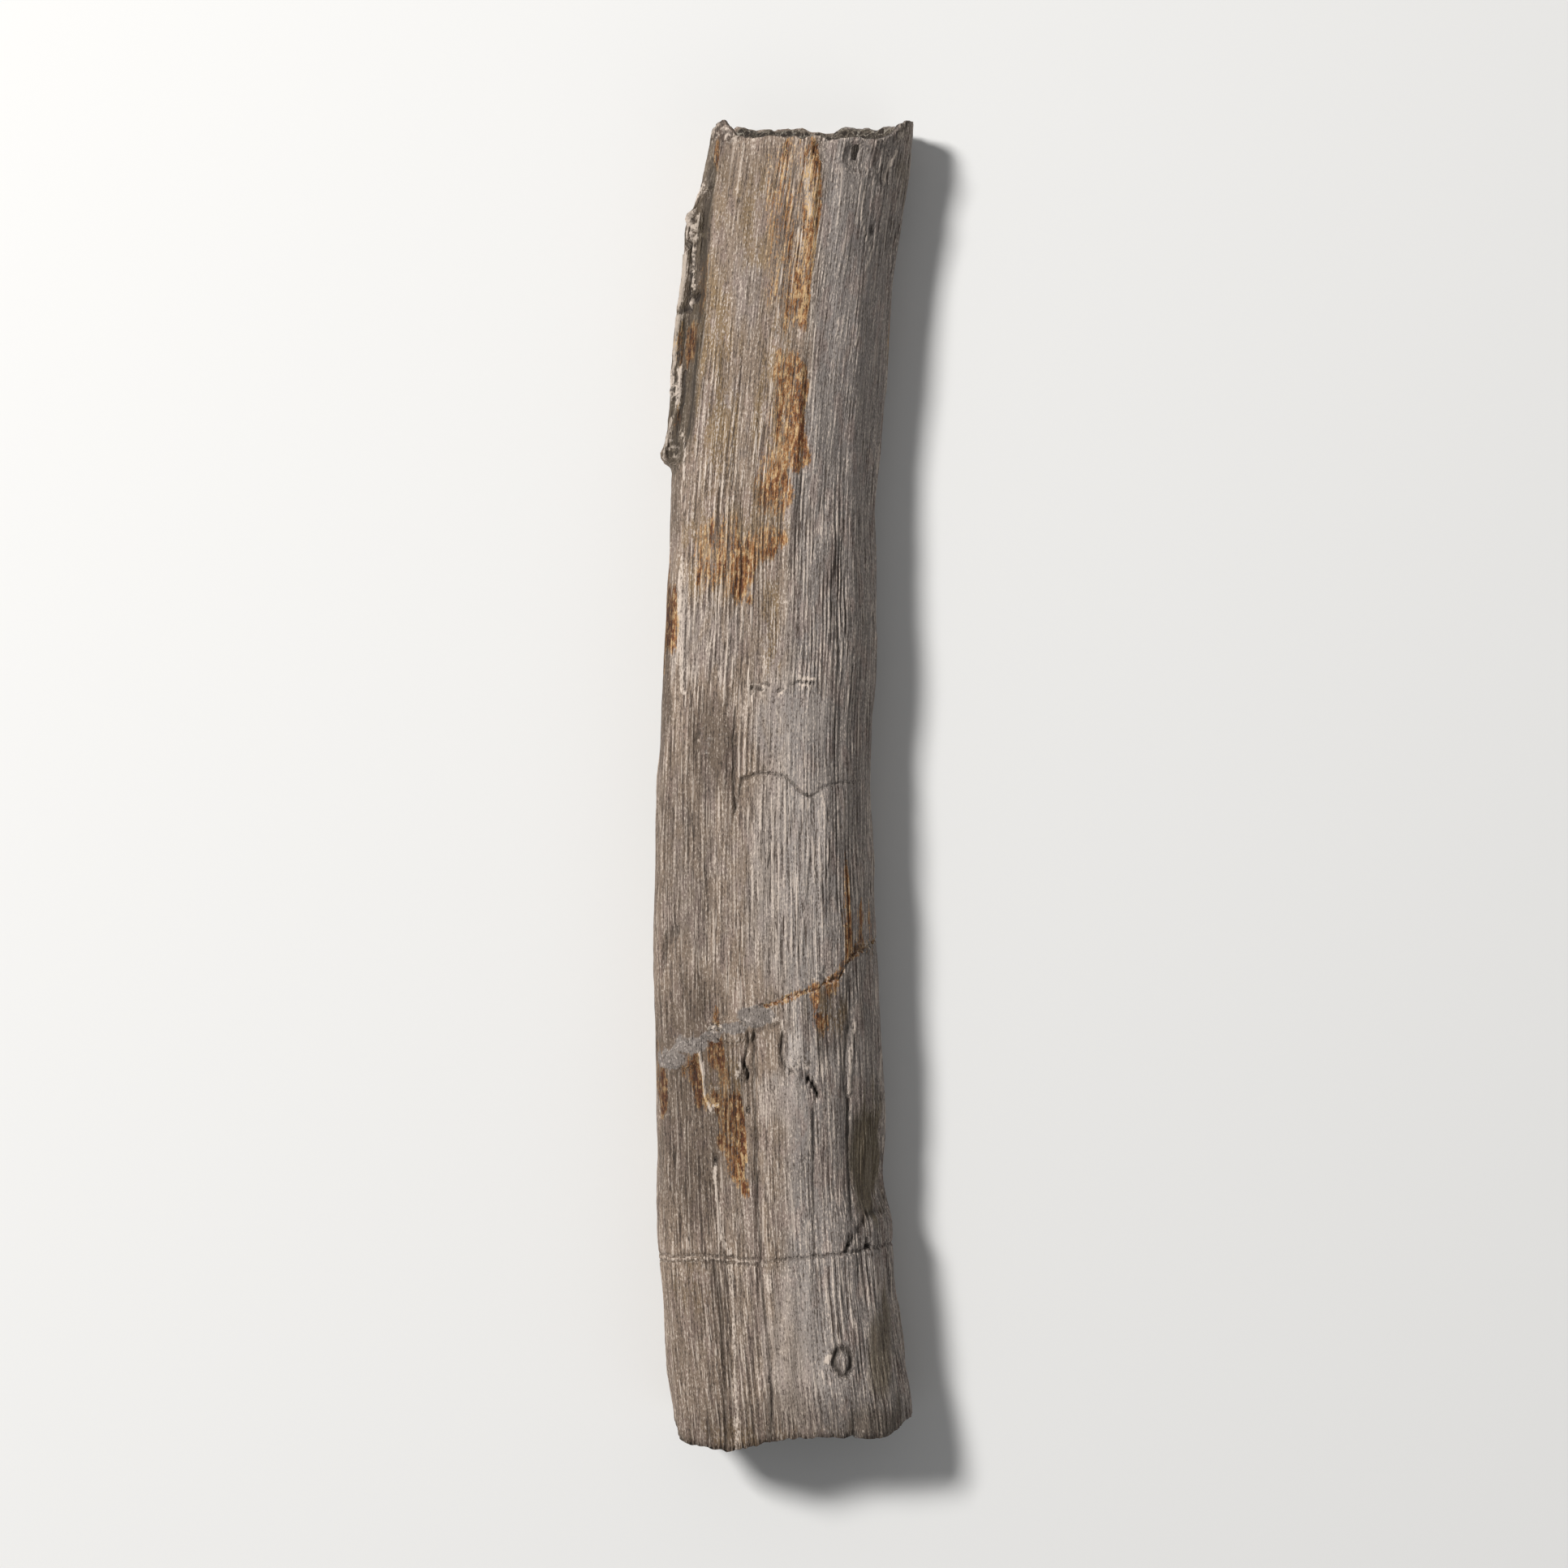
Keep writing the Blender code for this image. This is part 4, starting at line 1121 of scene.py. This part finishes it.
    # painted shade and duller bone, olive bone, filler, and pale worn edges
    colour = n.mix(n.mark("dull_and_painted_shade"), colour, n.mix(1.0, colour, PAINTED_SHADE_TINT, "MULTIPLY"))
    clods = n.sum(crumb, n.centred(grit, 1.2))
    filler = n.tint(FILLER_GREY, LIGHT_BONE, clods, 0.55, 0.8)
    filler = n.tint(filler, DARK_DIRT_AND_SHADE, clods, 0.42, 0.2)
    patchy = n.sum(n.mark("filler"), n.sum(n.centred(crumb, 1.0), n.centred(mottle, 0.7)))
    patchy = n.times(n.ramp(patchy, 0.3, 0.65), n.ramp(n.mark("filler"), 0.0, 0.2))
    colour = n.mix(n.times(patchy, 0.92), colour, filler)
    pale = n.sum(n.mark("pale"), n.sum(n.centred(grit, 1.4), n.centred(strands, 1.0)))
    cream = n.mix(n.times(n.mark("olive"), 0.5), n.mix(rust, PALE_RIDGE_AND_HIGHLIGHT, RUSTY_CREAM), ridge)
    colour = n.tint(colour, cream, pale, 0.15, 0.7, 0.85)

    # fracture faces, specks, and dirt with painted shade in cracks, pits and the recess under the front
    # lip
    dense = n.times(n.minus(1.0, n.mark("spongy")), 0.35)
    uneven = n.sum(n.cell_walls(grain, 0.6), n.centred(n.sum(crumb, grit), 0.6))
    walls = n.ramp(uneven, n.sum(dense, 0.16), n.sum(dense, 0.02))
    # dark spongy bone, its darkness partly painted shade in the fracture's recess
    spongy = n.tint(SPONGY_BONE_AND_SHADE, DARK_DIRT_AND_SHADE, crumb, 0.66, 0.5)
    dry = n.tint(BODY_CRUMB, PALE_CRUMB, speck, 0.4, 0.6)
    spongy = n.mix(n.times(walls, 0.75), spongy, dry)
    colour = n.tint(colour, DARK_DIRT_AND_SHADE, crumb, 0.49, 0.42, n.mark("crumbly"))
    colour = n.tint(colour, PALE_RIDGE_AND_HIGHLIGHT, crumb, 0.53, 0.59, n.mark("crumbly"))
    colour = n.tint(colour, spongy, n.mark("spongy"), 0.0, 0.15)
    colour = n.tint(colour, DARK_GROOVE_AND_SHADE, speck, 0.66, 0.74, 0.5)
    # dirt, and painted shade in cracks, pits and the recess under the lip
    colour = n.mix(n.mark("dirt_and_painted_shade"), colour, DARK_DIRT_AND_SHADE)
    n.link(colour, n.shader.inputs["Base Color"])

    roughness = n.sum(n.times(grit, 0.2), 0.62)
    n.link(roughness, n.shader.inputs["Roughness"])
    n.shader.inputs["Specular IOR Level"].default_value = 0.35

    relief = n.bump(n.sum(strands, n.times(grit, 0.4)), 0.0002, 0.9)
    relief = n.bump(n.times(crumb, n.mark("spongy")), 0.0004, 0.9, relief)
    n.link(relief, n.shader.inputs["Normal"])
    return n.material


def floor_material():
    """Plain pale matt paper."""
    n = Nodes("pale_floor")
    n.shader.inputs["Base Color"].default_value = FLOOR_COLOUR
    n.shader.inputs["Roughness"].default_value = 0.9
    return n.material


def add_floor():
    """A plain floor that the rib lies on."""
    corners = [(FLOOR_HALF * x, FLOOR_HALF * y, 0) for x, y in ((-1, -1), (1, -1), (1, 1), (-1, 1))]
    data = bpy.data.meshes.new("floor")
    data.from_pydata(corners, [], [(0, 1, 2, 3)])
    data.materials.append(floor_material())
    floor = add_object("floor", data)
    floor.location.z = -FLOOR_DROP


def add_light(name, place, size, power):
    """A square soft light that looks at the rib."""
    data = bpy.data.lights.new(name, "AREA")
    data.shape = "SQUARE"
    data.size = size
    data.energy = power
    light = add_object(name, data)
    light.location = place
    light.rotation_euler = (-Vector(place)).to_track_quat("-Z", "Y").to_euler()


def add_lights():
    """The lights and an even pale surround."""
    for light in LIGHTS:
        add_light(*light)
    world = bpy.data.worlds.new("studio")
    world.use_nodes = True
    background = world.node_tree.nodes["Background"]
    background.inputs["Color"].default_value = SURROUND_COLOUR
    background.inputs["Strength"].default_value = SURROUND_STRENGTH
    bpy.context.scene.world = world


def add_camera():
    """Straight down on the rib, with the photograph's frame."""
    data = bpy.data.cameras.new("camera")
    data.lens = LENS
    data.sensor_width = SENSOR
    data.clip_start = CLIP_START
    camera = add_object("camera", data)
    camera.location = (0, 0, (FRAME_WIDTH * LENS / SENSOR + FRONT_HEIGHT) * MM)
    bpy.context.scene.camera = camera


def build_rib():
    """The rib, one piece that stands for the solid."""
    points, marks = shaft_surface()
    rib = RibMesh()
    low, high = rib.add_shaft(points, marks)
    rib.add_cap(low, points[0], marks, BOTTOM_RECESS, -1)
    rib.add_cap(high, points[-1], marks, TOP_RECESS, 1)
    piece = rib.make("rib_bone")
    piece.data.materials.append(bone_material())
    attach(piece, "root")
    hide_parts("rib")


build_rib()
add_floor()
add_lights()
add_camera()
bpy.context.scene.view_settings.view_transform = "Standard"
